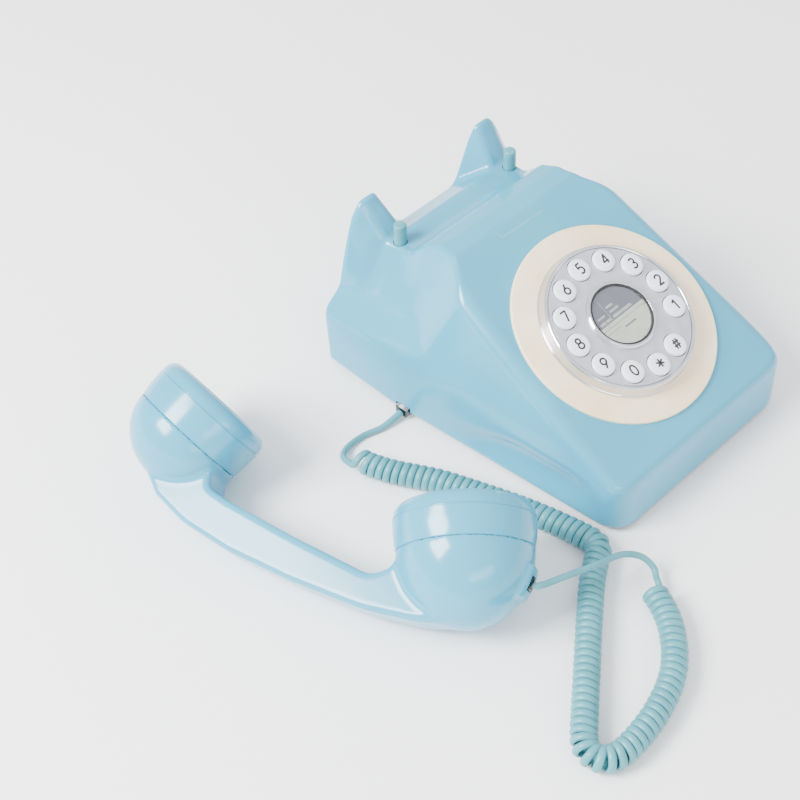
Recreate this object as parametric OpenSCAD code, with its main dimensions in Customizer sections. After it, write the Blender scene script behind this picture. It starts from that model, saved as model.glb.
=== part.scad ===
// Retro push-button desk telephone with its handset lying beside it.
// Millimetres, +Z up, resting surface at z = 0, front of the base towards -Y.

/* [Base case] */
// Overall width of the base at its widest, across the back
body_w = 164; // [130:1:200]
// Overall depth of the base from the front lip to the back wall
body_d = 200; // [160:1:240]
// Height of the two ears above the resting surface
body_h = 97; // [80:1:120]
// Height of the front lip below the sloping face
lip_h = 33; // [26:1:42]
// Wall thickness of the case
wall = 2.6; // [2:0.1:3.5]
// Radius of the upright front corners
corner_r = 13; // [6:1:18]
// Thickness of each ear near its tip
ear_t = 9; // [6:0.5:12]

/* [Dial] */
// Diameter of the cream disc on the face
dial_d = 114; // [100:1:116]
// Height the chrome ring stands above the face
ring_rise = 8.6; // [6:0.1:10]
// Diameter of each key cap
key_d = 12.3; // [10:0.1:13]
// Radius of the circle the keys stand on
key_circle_r = 31.7; // [30:0.1:33]
// Angle between neighbouring keys
key_step = 28.9; // [27:0.1:30]
// Angle of the first key from the right-hand side
key_first = -24.6; // [-30:0.1:-15]
// How far each key presses in
key_travel = 1.3; // [1:0.1:1.4]

/* [Cradle hook] */
// Diameter of each hook plunger
plunger_d = 7.2; // [6:0.1:8]
// Height of a raised plunger above the cradle floor
plunger_rise = 12; // [9:0.5:14]
// How far the plungers press down
hook_travel = 7; // [4:0.5:8]

/* [Handset] */
// Distance between the middles of the two cups
cup_span = 161; // [150:1:180]
// Radius of the ear cup at its seam
ear_r = 31.6; // [28:0.1:34]
// Radius of the mouth cup at its seam
mouth_r = 33.6; // [30:0.1:36]
// Height of each screw-on cap above its seam
cap_h = 24; // [20:0.5:27]
// Width of the handle
handle_w = 24; // [20:0.5:27]
// Angle the handset lies on its side
handset_roll = 63; // [55:0.5:90]
// Nose-down angle of the handset along its length
handset_pitch = 3; // [0:0.1:8]
// Direction the handset points, seen from above
handset_heading = 109.1; // [90:0.1:125]

/* [Cord] */
// Outer diameter of the coiled stretch
coil_d = 13.8; // [12:0.1:15]
// Diameter of the plain cord
cord_d = 3.4; // [3:0.1:4]

/* [Hidden] */
$fn = 48;

// Scale factors from the drawn size to the chosen size.
kx = body_w / 164;
ky = body_d / 200;
kz = body_h / 97;
function X(v) = v * kx;
function Y(v) = v * ky;
function Z(v) = v * kz;
function P(v) = [X(v[0]), Y(v[1]), Z(v[2])];

// Bottom of the case, of the base plate and of the boards.
case_z = 2;
plate_z = 2.6;
plate_t = 2.5;
floor_z = plate_z + plate_t;

// Sloping face: from the top of the lip to the front of the crest.
lip_y = Y(-98.7);
crest_y = Y(35);
crest_z = Z(95.5);
face_a = atan((crest_z - lip_h) / (crest_y - lip_y));
face_n = [0, -sin(face_a), cos(face_a)];
// Middle of the dial on the face, measured up the slope from the lip.
dial_up = (crest_y - lip_y) / cos(face_a) * 0.479;
dial_o = [0, lip_y + dial_up * cos(face_a), lip_h + dial_up * sin(face_a)];
dial_R = min(dial_d / 2, X(57.4), dial_up * 0.83);
// Everything on the dial keeps its proportion to the cream disc.
kd = dial_R / 57;
key_R = key_circle_r * kd;
key_r = key_d / 2 * kd;
// The chrome ring and the faceplate grow with the keys.
ring_R = key_R + key_r + 5.45 * kd;
skirt_R = ring_R - 3.2 * kd;
face_plate_R = ring_R - 3.9 * kd;
// Flange under the faceplate, as wide as the gap to the next key allows.
flange = min(0.8, key_R * sin(key_step / 2) - key_r - 0.1);
label_R = 16.3 * kd;
face_top = ring_rise - 0.4;

// Cradle levels and the hook plungers.
cradle_z = Z(77.5);
plunger_x = X(42.6);
plunger_y = Y(78.3);
bar_z = cradle_z - 17;
bracket_z = bar_z - 20;

// Cups and handle of the handset in its own frame: X along, Z towards the face.
ear_c = [cup_span / 2, 0, 6.3];
mouth_c = [-cup_span / 2, 0, -6.3];
cup_tilt = 22.8;
ear_deep = 28.5;
mouth_deep = 37.5;
hk = cup_span / 161;

// Turns of a point about the three axes, and from the handset's frame to the table's.
function turn_x(a, v) = [v[0], v[1] * cos(a) - v[2] * sin(a), v[1] * sin(a) + v[2] * cos(a)];
function turn_y(a, v) = [v[0] * cos(a) + v[2] * sin(a), v[1], v[2] * cos(a) - v[0] * sin(a)];
function turn_z(a, v) = [v[0] * cos(a) - v[1] * sin(a), v[0] * sin(a) + v[1] * cos(a), v[2]];
function turned(v) = turn_z(handset_heading, turn_y(handset_pitch, turn_x(handset_roll, v)));

// Depth of a bowl below its middle, for a bowl whose axis leans by the tilt t.
function bowl_drop(r, d, t) =
    let (z = turned([sin(t), 0, cos(t)])[2]) sqrt(r * r * (1 - z * z) + d * d * z * z);

// Height of the handset's middle that puts its lowest bowl on the table.
handset_z = max(bowl_drop(ear_r, ear_deep, -cup_tilt) - turned(ear_c)[2],
    bowl_drop(mouth_r, mouth_deep, cup_tilt) - turned(mouth_c)[2]);
handset_o = [X(-82) - 83.8, Y(11.2), handset_z];
function from_h(v) = handset_o + turned(v);

// ---------- helpers ----------

// Rounded corner of a polygon: arc points that replace corner b between a and c.
function arc3(a, b, c, r, n = 6) =
    let (u = (a - b) / norm(a - b), v = (c - b) / norm(c - b),
         h = acos(u * v) / 2, t = r / tan(h), m = b + (u + v) / norm(u + v) * r / sin(h),
         s = b + u * t - m, e = b + v * t - m, g = 180 - 2 * h, w = s[0] * e[1] - s[1] * e[0] > 0 ? 1 : -1)
    [for (i = [0:n]) let (q = w * g * i / n)
        m + [s[0] * cos(q) - s[1] * sin(q), s[0] * sin(q) + s[1] * cos(q)]];

// Polygon with every corner rounded by its own radius, given as [x, y, r].
function rounded(p, n = 6) =
    let (k = len(p)) [for (i = [0:k - 1])
        let (a = p[(i + k - 1) % k], b = p[i], c = p[(i + 1) % k])
        each (b[2] > 0 ? arc3([a[0], a[1]], [b[0], b[1]], [c[0], c[1]], b[2], n) : [[b[0], b[1]]])];

// Side view polygon in Y and Z, pushed out evenly to both sides.
module side_block(pts, w) {
    rotate([90, 0, 90])
        linear_extrude(height = w, center = true)
            polygon(pts);
}

// Large block that fills the side of a plane its normal points to.
module beyond(p, n) {
    translate(p)
        rotate([0, acos(n[2] / norm(n)), atan2(n[1], n[0])])
            translate([-300, -300, 0])
                cube([600, 600, 300]);
}

// Plane through three points, filled on the side of the point "out".
module beyond3(a, b, c, out) {
    n = cross(b - a, c - a);
    s = (out - a) * n > 0 ? 1 : -1;
    beyond(a, s * n);
}

module mirrored() {
    children();
    mirror([1, 0, 0])
        children();
}

module on_face() {
    translate(dial_o)
        rotate([face_a, 0, 0])
            children();
}

module at_key(i) {
    a = key_first + key_step * i;
    on_face()
        translate([key_R * cos(a), key_R * sin(a), 0])
            children();
}

module in_handset() {
    translate(handset_o)
        rotate([handset_roll, handset_pitch, handset_heading])
            children();
}

module at_ear() {
    translate(ear_c)
        rotate([0, -cup_tilt, 0])
            children();
}

module at_mouth() {
    translate(mouth_c)
        rotate([0, cup_tilt, 0])
            children();
}

// Flat ring between two radii.
module ring(r1, r2, z0, z1) {
    translate([0, 0, z0])
        difference() {
            cylinder(r = r2, h = z1 - z0);
            translate([0, 0, -1])
                cylinder(r = r1, h = z1 - z0 + 2);
        }
}

// ---------- base case ----------

// Side view of the whole base with the ears, before the sides are cut.
side_pts = rounded([
    [Y(-100), case_z, 0], [lip_y, lip_h, 4], [crest_y, crest_z, 5], [Y(46), crest_z - Z(0.8), 5],
    [Y(57), Z(89.8), 3], [Y(67), Z(79.8), 4], [Y(72), cradle_z, 3], [Y(84.5), cradle_z, 3],
    [Y(96), Z(91), 0], [Y(99.5), Z(97), 2], [Y(103), Z(96.5), 2], [Y(104), Z(90), 0],
    [Y(100), case_z, 0]]);

// Plan view of the base.
plan_pts = rounded([
    [X(-68), Y(-100), corner_r], [X(68), Y(-100), corner_r], [X(82), Y(44), 20], [X(82), Y(104.5), 5],
    [X(-82), Y(104.5), 5], [X(-82), Y(44), 20]]);

// Corner points of the left side, used for its sloping planes.
pt_a = P([-59.5, 18.5, 86.7]);
pt_b = P([-46, 35.2, 95.5]);
pt_c = P([-68, -90.7, 37.5]);
pt_d = P([-77, 28.2, 41]);
pt_v = P([-61, 41.7, 56]);
pt_w = P([-68.5, 104.2, 47.5]);
pt_r = P([-80, 101.2, 39]);
pt_t = P([-46.5, 72.2, 90]);

// Hollow beside each ear, between the ear, the sloping shoulder and the front pillar.
module side_pocket(g = 0) {
    intersection() {
        translate([g, 0, 0])
            beyond3(pt_v, pt_w, pt_t, P([-200, 60, 80]));
        translate([0, 0, -g])
            beyond3(pt_v, pt_w, pt_r, P([-60, 60, 200]));
        translate([0, -g, 0])
            beyond3(pt_a, pt_b, pt_d, P([-60, 200, 60]));
    }
}

// Gap between the ears behind the cradle floor.
module ear_gap(g = 0) {
    ear_in = 47.3 - ear_t;
    intersection() {
        translate([0, -g, -g])
            beyond([0, Y(83.5), Z(77.2)], [0, 0.726 / ky, 1 / kz]);
        translate([g, 0, 0])
            beyond3(P([ear_in, 101.5, 91]), P([21.5, 103.7, 62]), P([36.5, 83.5, 77.2]), P([0, 100, 90]));
        translate([-g, 0, 0])
            beyond3(P([-ear_in, 101.5, 91]), P([-21.5, 103.7, 62]), P([-36.5, 83.5, 77.2]), P([0, 100, 90]));
    }
}

module case_outside() {
    difference() {
        intersection() {
            side_block(side_pts, X(170));
            linear_extrude(height = Z(120))
                polygon(plan_pts);
        }
        mirrored()
            beyond3(pt_a, pt_c, pt_d, P([-200, 0, 80]));
        mirrored()
            side_pocket();
        ear_gap();
    }
}

// Room inside the case, one wall in from the outside.
room_pts = [
    [Y(-100) + wall + 0.6, case_z - 1], [lip_y + wall + 0.5, lip_h - wall * 0.6],
    [crest_y - 2, crest_z - wall * 1.12 - 1], [Y(45), crest_z - wall - 1.6], [Y(54), Z(88.5) - wall - 1],
    [Y(65), Z(78.5) - wall], [Y(70), cradle_z - wall], [Y(82), cradle_z - wall],
    [Y(103.5) - wall, Z(61) - wall * 1.2], [Y(100) - wall, case_z - 1]];
room_plan = rounded([
    [X(-68) + wall, Y(-100) + wall, corner_r - wall],
    [X(68) - wall, Y(-100) + wall, corner_r - wall],
    [X(82) - wall, Y(44), 18], [X(82) - wall, Y(105) - wall, 3],
    [X(-82) + wall, Y(105) - wall, 3], [X(-82) + wall, Y(44), 18]]);

module case_room() {
    difference() {
        intersection() {
            side_block(room_pts, X(170));
            linear_extrude(height = Z(120))
                polygon(room_plan);
        }
        mirrored()
            translate([wall * 1.07, 0, 0])
                beyond3(pt_a, pt_c, pt_d, P([-200, 0, 80]));
        mirrored()
            side_pocket(wall * 1.25);
    }
}

boss_xy = [[X(-58), Y(-78)], [X(58), Y(-78)], [X(-68), Y(84)], [X(68), Y(84)]];
boss_r = 4;
screw_r = 1.5;

line_x = X(-24);
line_z = floor_z + 1;
socket_y = Y(40);

module upper_case() {
    color("lightblue")
    difference() {
        union() {
            difference() {
                case_outside();
                case_room();
            }
            // Screw posts that run up to the roof.
            intersection() {
                for (b = boss_xy)
                    translate([b[0], b[1], floor_z])
                        cylinder(r = boss_r, h = Z(90));
                case_outside();
            }
        }
        // Pilot holes for the case screws.
        for (b = boss_xy)
            translate([b[0], b[1], floor_z - 1])
                cylinder(r = screw_r, h = 15);
        // Round opening for the dial.
        on_face()
            translate([0, 0, -12])
                cylinder(r = skirt_R + 0.3, h = 24, $fn = 72);
        // Holes for the hook plungers.
        mirrored()
            translate([plunger_x, plunger_y, cradle_z - 8])
                cylinder(d = plunger_d + 0.6, h = 16);
        // Opening for the wall-line socket in the back wall.
        translate([line_x - 8.3, Y(88), line_z - 1.3])
            cube([16.6, Y(20), 15.6]);
        // Slot at the bottom edge for the cord.
        translate([X(-90), socket_y - 5, case_z - 1])
            cube([X(20), 10, 8]);
    }
}

// ---------- floor of the base ----------

plate_pts = rounded([
    [X(-68) + wall + 0.5, Y(-100) + wall + 1.2, corner_r - wall],
    [X(68) - wall - 0.5, Y(-100) + wall + 1.2, corner_r - wall],
    [X(82) - wall - 0.5, Y(44), 18], [X(82) - wall - 0.5, Y(100) - wall - 0.5, 3],
    [X(-82) + wall + 0.5, Y(100) - wall - 0.5, 3], [X(-82) + wall + 0.5, Y(44), 18]]);
board_post = [[X(-44), Y(-46)], [X(44), Y(-46)], [X(-44), Y(46)], [X(44), Y(46)]];

module base_plate() {
    color("darkslategray")
    difference() {
        union() {
            translate([0, 0, plate_z])
                linear_extrude(height = plate_t)
                    polygon(plate_pts);
            for (b = board_post)
                translate([b[0], b[1], floor_z])
                    cylinder(r = 3.5, h = 4);
        }
        for (b = boss_xy)
            translate([b[0], b[1], plate_z - 1])
                cylinder(r = screw_r, h = 6);
        for (b = boss_xy)
            translate([b[0], b[1], plate_z - 1])
                cylinder(r = 3.3, h = 2.2);
        // Room for the cord plug at the left edge.
        translate([X(-90), socket_y - 5, plate_z - 1])
            cube([X(90) - X(64.5), 10, 5]);
    }
}

module rubber_feet() {
    color("dimgray")
    for (x = [-1, 1], y = [-82, 62])
        translate([x * X(y < 0 ? 40 : 62), Y(y), 0])
            cylinder(r1 = 6.2, r2 = 6.8, h = plate_z);
}

module case_screws() {
    color("silver")
    for (b = boss_xy)
        translate([b[0], b[1], 0])
            difference() {
                union() {
                    translate([0, 0, plate_z - 0.4])
                        cylinder(r = 3, h = 1.6);
                    translate([0, 0, plate_z + 1])
                        cylinder(r = screw_r, h = 14);
                }
                translate([-0.4, -2, plate_z - 1])
                    cube([0.8, 4, 1.4]);
                translate([-2, -0.4, plate_z - 1])
                    cube([4, 0.8, 1.4]);
            }
}

// ---------- dial ----------

module dial_surround() {
    color("oldlace")
    on_face()
        rotate_extrude($fn = 96)
            polygon([[skirt_R + 0.2, 0], [dial_R, 0], [dial_R, 1.2],
                [dial_R - 0.7, 1.8], [skirt_R + 0.2, 1.8]]);
}

module dial_ring() {
    color("silver")
    on_face()
        rotate_extrude($fn = 96)
            polygon([[skirt_R - kd, -6], [skirt_R, -6], [skirt_R, 1.8], [ring_R, 1.8], [ring_R, 3],
                [ring_R - 1.8 * kd, ring_rise - 0.5], [ring_R - 2.4 * kd, ring_rise],
                [ring_R - 3.2 * kd, ring_rise], [ring_R - 3.6 * kd, face_top],
                [ring_R - 3.6 * kd, face_top - 2], [skirt_R - kd, face_top - 2]]);
}

module dial_faceplate() {
    color("gainsboro")
    on_face()
        difference() {
            translate([0, 0, face_top - 2])
                cylinder(r = face_plate_R, h = 2, $fn = 96);
            for (i = [0:11])
                rotate([0, 0, key_first + key_step * i])
                    translate([key_R, 0, face_top - 3])
                        cylinder(r = key_r + 0.3, h = 4);
        }
}

module label_bezel() {
    color("silver")
    on_face()
        rotate_extrude($fn = 72)
            polygon([[label_R + 1.1, face_top], [label_R + 3, face_top], [label_R + 2.8, face_top + 1.6],
                [label_R + 2, face_top + 2.4], [label_R + 1.1, face_top + 2.2]]);
}

module label_gasket() {
    color("black")
    on_face()
        ring(label_R, label_R + 1.05, face_top, face_top + 1.9);
}

module label_card() {
    color("ivory")
    on_face()
        translate([0, 0, face_top])
            cylinder(r = label_R - 0.1, h = 0.6, $fn = 72);
}

module label_lens() {
    color([0.9, 0.95, 1, 0.4])
    on_face()
        rotate_extrude($fn = 72)
            polygon([[0, face_top + 0.6], [label_R - 0.1, face_top + 0.6], [label_R - 0.1, face_top + 1.5],
                [label_R * 0.75, face_top + 1.9], [label_R * 0.4, face_top + 2.15], [0, face_top + 2.25]]);
}

// Round key: domed cap, flange under the faceplate, hollow below.
module key(i) {
    color("white")
    at_key(i)
        rotate_extrude($fn = 40)
            polygon([[4.1 * kd, 4.7], [key_r + flange, 4.7], [key_r + flange, 6], [key_r, 6],
                [key_r, face_top + 1],
                [key_r - 0.5, face_top + 1.6], [key_r * 0.7, face_top + 1.95],
                [key_r * 0.35, face_top + 2.15], [0, face_top + 2.2], [0, 7.2], [4.1 * kd, 7.2]]);
}

module key_membrane() {
    color("darkgray")
    on_face() {
        translate([0, 0, 2.4])
            cylinder(r = skirt_R - 1.2, h = 0.8, $fn = 72);
        for (i = [0:11])
            rotate([0, 0, key_first + key_step * i])
                translate([key_R, 0, 3])
                    cylinder(r1 = 3.2 * kd, r2 = 2.2 * kd, h = 1.6, $fn = 24);
    }
}

module key_board() {
    color("darkgreen")
    on_face()
        translate([0, 0, 0.8])
            cylinder(r = skirt_R - 1.2, h = 1.6, $fn = 72);
}

module dial_back_plate() {
    color("dimgray")
    on_face()
        difference() {
            union() {
                translate([0, 0, -8])
                    cylinder(r = skirt_R + 2.4, h = 2, $fn = 72);
                for (a = [45:90:315])
                    rotate([0, 0, a])
                        translate([30 * kd, 0, -6.5])
                            cylinder(r = 3, h = 7.3);
            }
            for (a = [45:90:315])
                rotate([0, 0, a])
                    translate([30 * kd, 0, -9])
                        cylinder(r = 1.2, h = 8);
        }
}

module dial_screws() {
    color("silver")
    on_face()
        for (a = [45:90:315])
            rotate([0, 0, a])
                translate([30 * kd, 0, 0]) {
                    translate([0, 0, -9.6])
                        cylinder(r = 2.6, h = 1.6);
                    translate([0, 0, -8.1])
                        cylinder(r = 1.2, h = 7);
                }
}

// ---------- hook ----------

// Plunger with a rounded top, standing on the hook bar.
module plunger(side) {
    color("paleturquoise")
    translate([side * plunger_x, plunger_y, bar_z + 4])
        rotate_extrude($fn = 40)
            polygon([[0, 0], [plunger_d / 2, 0], [plunger_d / 2, cradle_z - bar_z - 3],
                [plunger_d / 2 - 0.3, cradle_z + plunger_rise - bar_z - 5.2],
                [plunger_d / 2 - 0.7, cradle_z + plunger_rise - bar_z - 4.4],
                [plunger_d / 2 - 1.6, cradle_z + plunger_rise - bar_z - 4],
                [0, cradle_z + plunger_rise - bar_z - 4]]);
}

module hook_bar() {
    color("gray")
    difference() {
        translate([-plunger_x - 5, plunger_y - 4, bar_z])
            cube([2 * plunger_x + 10, 8, 4]);
        for (x = [-1, 1])
            translate([x * X(25), plunger_y, bar_z - 1])
                cylinder(r = 2.2, h = 6);
    }
}

// Two springs that lift the bar, drawn as plain sleeves.
module hook_springs() {
    color("silver")
    for (x = [-1, 1])
        translate([x * X(25), plunger_y, 0])
            ring(2.7, 3.7, bracket_z + 3, bar_z);
}

// Bridge over the main board with guide pins for the bar.
module hook_bracket() {
    color("slategray")
    union() {
        translate([X(-36), plunger_y - 7, bracket_z])
            cube([X(72), 14, 3]);
        for (x = [-1, 1])
            translate([x * X(34.5) - 1.5, plunger_y - 7, floor_z])
                cube([3, 14, bracket_z - floor_z + 1]);
        for (x = [-1, 1])
            translate([x * X(25), plunger_y, bracket_z + 2])
                cylinder(r = 2.15, h = bar_z - bracket_z + 5);
    }
}

module hook_switch() {
    color("black")
    union() {
        translate([-9, plunger_y - 4, bracket_z + 3])
            cube([18, 8, 8]);
        translate([-1.5, plunger_y - 2, bracket_z + 10])
            cube([3, 4, 1.8]);
    }
}

// ---------- inside the base ----------

board_z = floor_z + 4;

module main_board() {
    color("green")
    translate([X(-50), Y(-52), board_z])
        cube([X(100), Y(104), 1.6]);
}

module board_parts() {
    color("black")
    translate([0, 0, board_z + 1.6]) {
        translate([X(-10), Y(-12), 0])
            cube([18, 10, 3]);
        translate([X(16), Y(18), 0])
            cube([14, 12, 11]);
        translate([X(-30), Y(20), 0])
            cylinder(r = 5, h = 13);
        translate([X(-14), Y(28), 0])
            cylinder(r = 4, h = 10);
        translate([X(-38), Y(-30), 0])
            cube([12, 20, 5]);
        translate([X(28), Y(-20), 0])
            cylinder(r = 3, h = 8);
    }
}

module ringer_frame() {
    color("dimgray")
    translate([0, Y(-75), floor_z])
        difference() {
            cylinder(r = 17, h = 8);
            translate([0, 0, 5])
                cylinder(r = 9, h = 4);
        }
}

module ringer_magnet() {
    color("silver")
    translate([0, Y(-75), floor_z + 5])
        cylinder(r = 8.7, h = 6);
}

module ballast_plate() {
    color("gray")
    translate([X(-28), Y(-30), floor_z])
        cube([X(56), Y(60), 3]);
}

// Modular socket with an open mouth in the back wall.
module line_socket() {
    color("ivory")
    difference() {
        translate([line_x - 8, Y(88), line_z - 1])
            cube([16, Y(100.3) - Y(88), 15]);
        translate([line_x - 5, Y(91), line_z + 2.6])
            cube([10, Y(30), 7]);
        translate([line_x - 1.6, Y(91), line_z + 9.4])
            cube([3.2, Y(30), 1.6]);
    }
}

// Socket for the cord plug, just inside the left wall.
module cord_socket() {
    color("black")
    difference() {
        translate([X(-76.5), socket_y - 7, floor_z])
            cube([13, 14, 9]);
        translate([X(-90), socket_y - 4.1, floor_z - 3])
            cube([X(90) - X(76.5) + 11.2, 8.2, 6.2]);
    }
}

// ---------- handset ----------

// Bowl under a cup: lower half of an egg-shaped body of revolution.
module bowl(r, depth) {
    rotate_extrude($fn = 72)
        polygon([each [for (a = [0:6:90]) [r * cos(a), -depth * sin(a)]], [0, 0]]);
}

// Side view of the handle in the handset's own X and Z.
function hp(x, z) = [x * hk, z];
handle_pts = rounded([
    [80 * hk, -10, 0], [88 * hk, -21, 0], [80 * hk, -29, 8], [60 * hk, -38, 40],
    [31 * hk, -44.2, 60], [-6 * hk, -47.8, 90], [-46 * hk, -49.2, 90], [-74 * hk, -46.2, 60],
    [-98 * hk, -38, 25], [-96 * hk, -16, 0], [-56 * hk, -17, 0], [-50 * hk, -27, 5],
    [-43 * hk, -32.6, 12], [2 * hk, -26.8, 60], [40 * hk, -20.6, 12], [53 * hk, -17.4, 5],
    [56.2 * hk, -7, 0], [62 * hk, -4, 0]]);

module handle_side(pts, w) {
    rotate([90, 0, 0])
        linear_extrude(height = w, center = true)
            polygon(pts);
}

cover_l = [hp(-41, 0)[0], hp(39, 0)[0]];
socket_x = -cup_span / 2 - mouth_r - 2.1;
socket_zz = -11;

module handset_shell() {
    color("lightblue")
    in_handset()
    difference() {
        union() {
            at_ear()
                bowl(ear_r, ear_deep);
            at_mouth()
                bowl(mouth_r, mouth_deep);
            handle_side(handle_pts, handle_w);
            // Slightly raised pad around the cord socket.
            intersection() {
                at_mouth()
                    bowl(mouth_r + 2, mouth_deep + 2);
                translate([socket_x - 4, -8.5, socket_zz - 8.5])
                    cube([20, 17, 17]);
            }
        }
        // Anything above the two seams belongs to the caps.
        at_ear()
            cylinder(r = ear_r + 8, h = 40);
        at_mouth()
            cylinder(r = mouth_r + 8, h = 40);
        // Room inside the ear cup.
        at_ear()
            translate([0, 0, -14])
                cylinder(r = ear_r - 6, h = 20);
        // Room inside the mouth cup.
        at_mouth()
            translate([0, 0, -18])
                cylinder(r = mouth_r - 6, h = 24);
        // Weight pocket in the handle, closed by the cover.
        translate([hp(-18, 0)[0], -7, -41])
            cube([36 * hk, 14, 10]);
        translate([hp(-18, 0)[0] - 1, -5, -34])
            cube([36 * hk + 2, 10, 14]);
        // Seat for the inner cover.
        cover_strip(0);
        // Hole for the cover screw.
        translate([hp(31, 0)[0], 0, -38])
            cylinder(r = 1.2, h = 20);
        // Opening for the cord socket.
        translate([socket_x - 4, -6.2, socket_zz - 6.2])
            cube([16.2, 12.4, 12.4]);
    }
}

// Strip of the handle's inner face that the cover fills, smaller by the gap g.
module cover_strip(g) {
    intersection() {
        handle_side([
            [cover_l[0], -35.6], [cover_l[0], -20], [cover_l[1], -10],
            [cover_l[1], -23.8], [hp(2, 0)[0], -29.8]], handle_w - 6 - 2 * g);
        handle_side(handle_pts, handle_w);
        translate([cover_l[0] + g, -50, -50])
            cube([cover_l[1] - cover_l[0] - 2 * g, 100, 100]);
    }
}

module handset_cover() {
    color("lightblue")
    in_handset()
    difference() {
        cover_strip(0.15);
        translate([hp(31, 0)[0], 0, -38])
            cylinder(r = 1.2, h = 30);
        translate([hp(31, 0)[0], 0, -23.4])
            cylinder(r = 2.9, h = 10);
    }
}

module cover_screw() {
    color("silver")
    in_handset()
    translate([hp(31, 0)[0], 0, 0]) {
        translate([0, 0, -23.4])
            cylinder(r = 2.6, h = 0.9);
        translate([0, 0, -34])
            cylinder(r = 1.2, h = 11);
    }
}

// Screw-on cap: slightly barrelled wall, fine groove, fat rounded rim, dished middle.
function cap_pts(r, h) = [
    [r - 3, 0], [r, 0], [r + 0.8, 5], [r + 1.2, 10], [r + 1.3, h - 8.6], [r + 0.9, h - 8.2],
    [r + 0.9, h - 7.8], [r + 1.2, h - 7.4], [r + 0.8, h - 4.6], [r - 0.4, h - 2.4],
    [r - 2.2, h - 0.8], [r - 4, h - 0.1], [r - 5.4, h - 0.2], [r - 6.8, h - 0.9],
    [r - 8.4, h - 1.5], [r * 0.4, h - 2.3], [0, h - 2.5], [0, h - 5],
    [r - 7, h - 4.4], [r - 3, h - 6]];

module cap(r, h) {
    difference() {
        rotate_extrude($fn = 72)
            polygon(cap_pts(r, h));
        for (a = [0:60:300])
            rotate([0, 0, a])
                translate([4.2, 0, h - 7])
                    cylinder(r = 0.95, h = 8, $fn = 24);
    }
}

module ear_cap() {
    color("lightblue")
    in_handset()
        at_ear()
            cap(ear_r, cap_h);
}

module mouth_cap() {
    color("lightblue")
    in_handset()
        at_mouth()
            cap(mouth_r, cap_h - 1);
}

module ear_receiver() {
    color("silver")
    in_handset()
        at_ear() {
            translate([0, 0, 4])
                cylinder(r = ear_r - 7, h = 12);
            translate([0, 0, -14])
                cylinder(r = 9, h = 19);
        }
}

module microphone() {
    color("dimgray")
    in_handset()
        at_mouth() {
            translate([0, 0, 8])
                cylinder(r = 12, h = 8);
            translate([0, 0, -18])
                cylinder(r = 7, h = 27);
        }
}

module handset_weight() {
    color("gray")
    in_handset()
        translate([hp(-17, 0)[0], -6.9, -41])
            cube([34 * hk, 13.8, 6.8]);
}

// Modular socket at the mouth end of the handset.
module handset_socket() {
    color("black")
    in_handset()
    difference() {
        translate([socket_x + 0.7, -6.1, socket_zz - 6.1])
            cube([11.4, 12.2, 12.2]);
        translate([socket_x - 4, -4, socket_zz - 3.4])
            cube([13, 8, 6.8]);
    }
}

// ---------- cord ----------

// Smooth curve through route points.
function cr(a, b, c, d, t) =
    0.5 * (2 * b + (c - a) * t + (2 * a - 5 * b + 4 * c - d) * t * t + (3 * b - a - 3 * c + d) * t * t * t);
function smooth(p, n) =
    let (k = len(p)) concat([for (i = [0:k - 2], j = [0:n - 1])
        cr(p[max(i - 1, 0)], p[i], p[i + 1], p[min(i + 2, k - 1)], j / n)], [p[k - 1]]);

// Tube swept along points, with flat ends.
module tube(p, d, m) {
    k = len(p);
    function dir(i) = let (v = p[min(i + 1, k - 1)] - p[max(i - 1, 0)]) v / norm(v);
    function side(i) = let (v = cross(dir(i), [0, 0, 1])) v / norm(v);
    v = [for (i = [0:k - 1]) let (s = side(i), u = cross(s, dir(i)))
        each [for (j = [0:m - 1]) p[i] + d / 2 * (s * cos(360 * j / m) + u * sin(360 * j / m))]];
    f = concat(
        [[for (j = [0:m - 1]) j]],
        [[for (j = [m - 1:-1:0]) (k - 1) * m + j]],
        [for (i = [0:k - 2], j = [0:m - 1])
            let (a = i * m + j, b = i * m + (j + 1) % m) each [[a, a + m, b], [b, a + m, b + m]]]);
    polyhedron(points = v, faces = f, convexity = 6);
}

// Route of the cord: out of the base on the left, coiled past the handset, then back to it.
exit_x = X(-82) - 1.5;
coil_z = coil_d / 2 + 0.1;
route_base = [
    [exit_x, Y(40), 4.2], [exit_x - 6, Y(40), 3.4], [exit_x - 14, Y(41), 2.2],
    [exit_x - 24, Y(44), 2], [exit_x - 33, Y(44), 2.4], [exit_x - 38.5, Y(40), 4],
    [exit_x - 40.5, Y(34), coil_z - 0.5], [exit_x - 40.4, Y(31.5), coil_z]];
// The coil's middle line, each point as a distance left of the base and a place along it.
route_coil = [for (p = [
    [42, 31], [40, 22.5], [36, 12.5], [30, 1.5], [24, -9.5], [18.8, -22], [14, -35], [9, -49],
    [4.7, -63], [1.2, -77], [-1, -88], [-1.8, -94], [0.2, -98.6], [5.5, -101.8], [16.3, -108.3],
    [28.4, -117.3], [43.8, -129.3], [58.5, -141], [72.8, -152.3], [83, -160.5], [88.8, -165.8],
    [91.3, -171.5], [89.2, -177.5], [83, -180.8], [74.5, -181.3], [65, -180.6], [55, -179],
    [48.5, -177.3], [42.5, -175.5], [35.3, -172.6], [28.5, -168.8], [21.5, -163.5],
    [15.2, -157.3], [9.8, -150.7], [6, -144.3], [3, -137.8], [1, -131.5]])
    [X(-82) - p[0], Y(p[1]), coil_z]];
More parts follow.
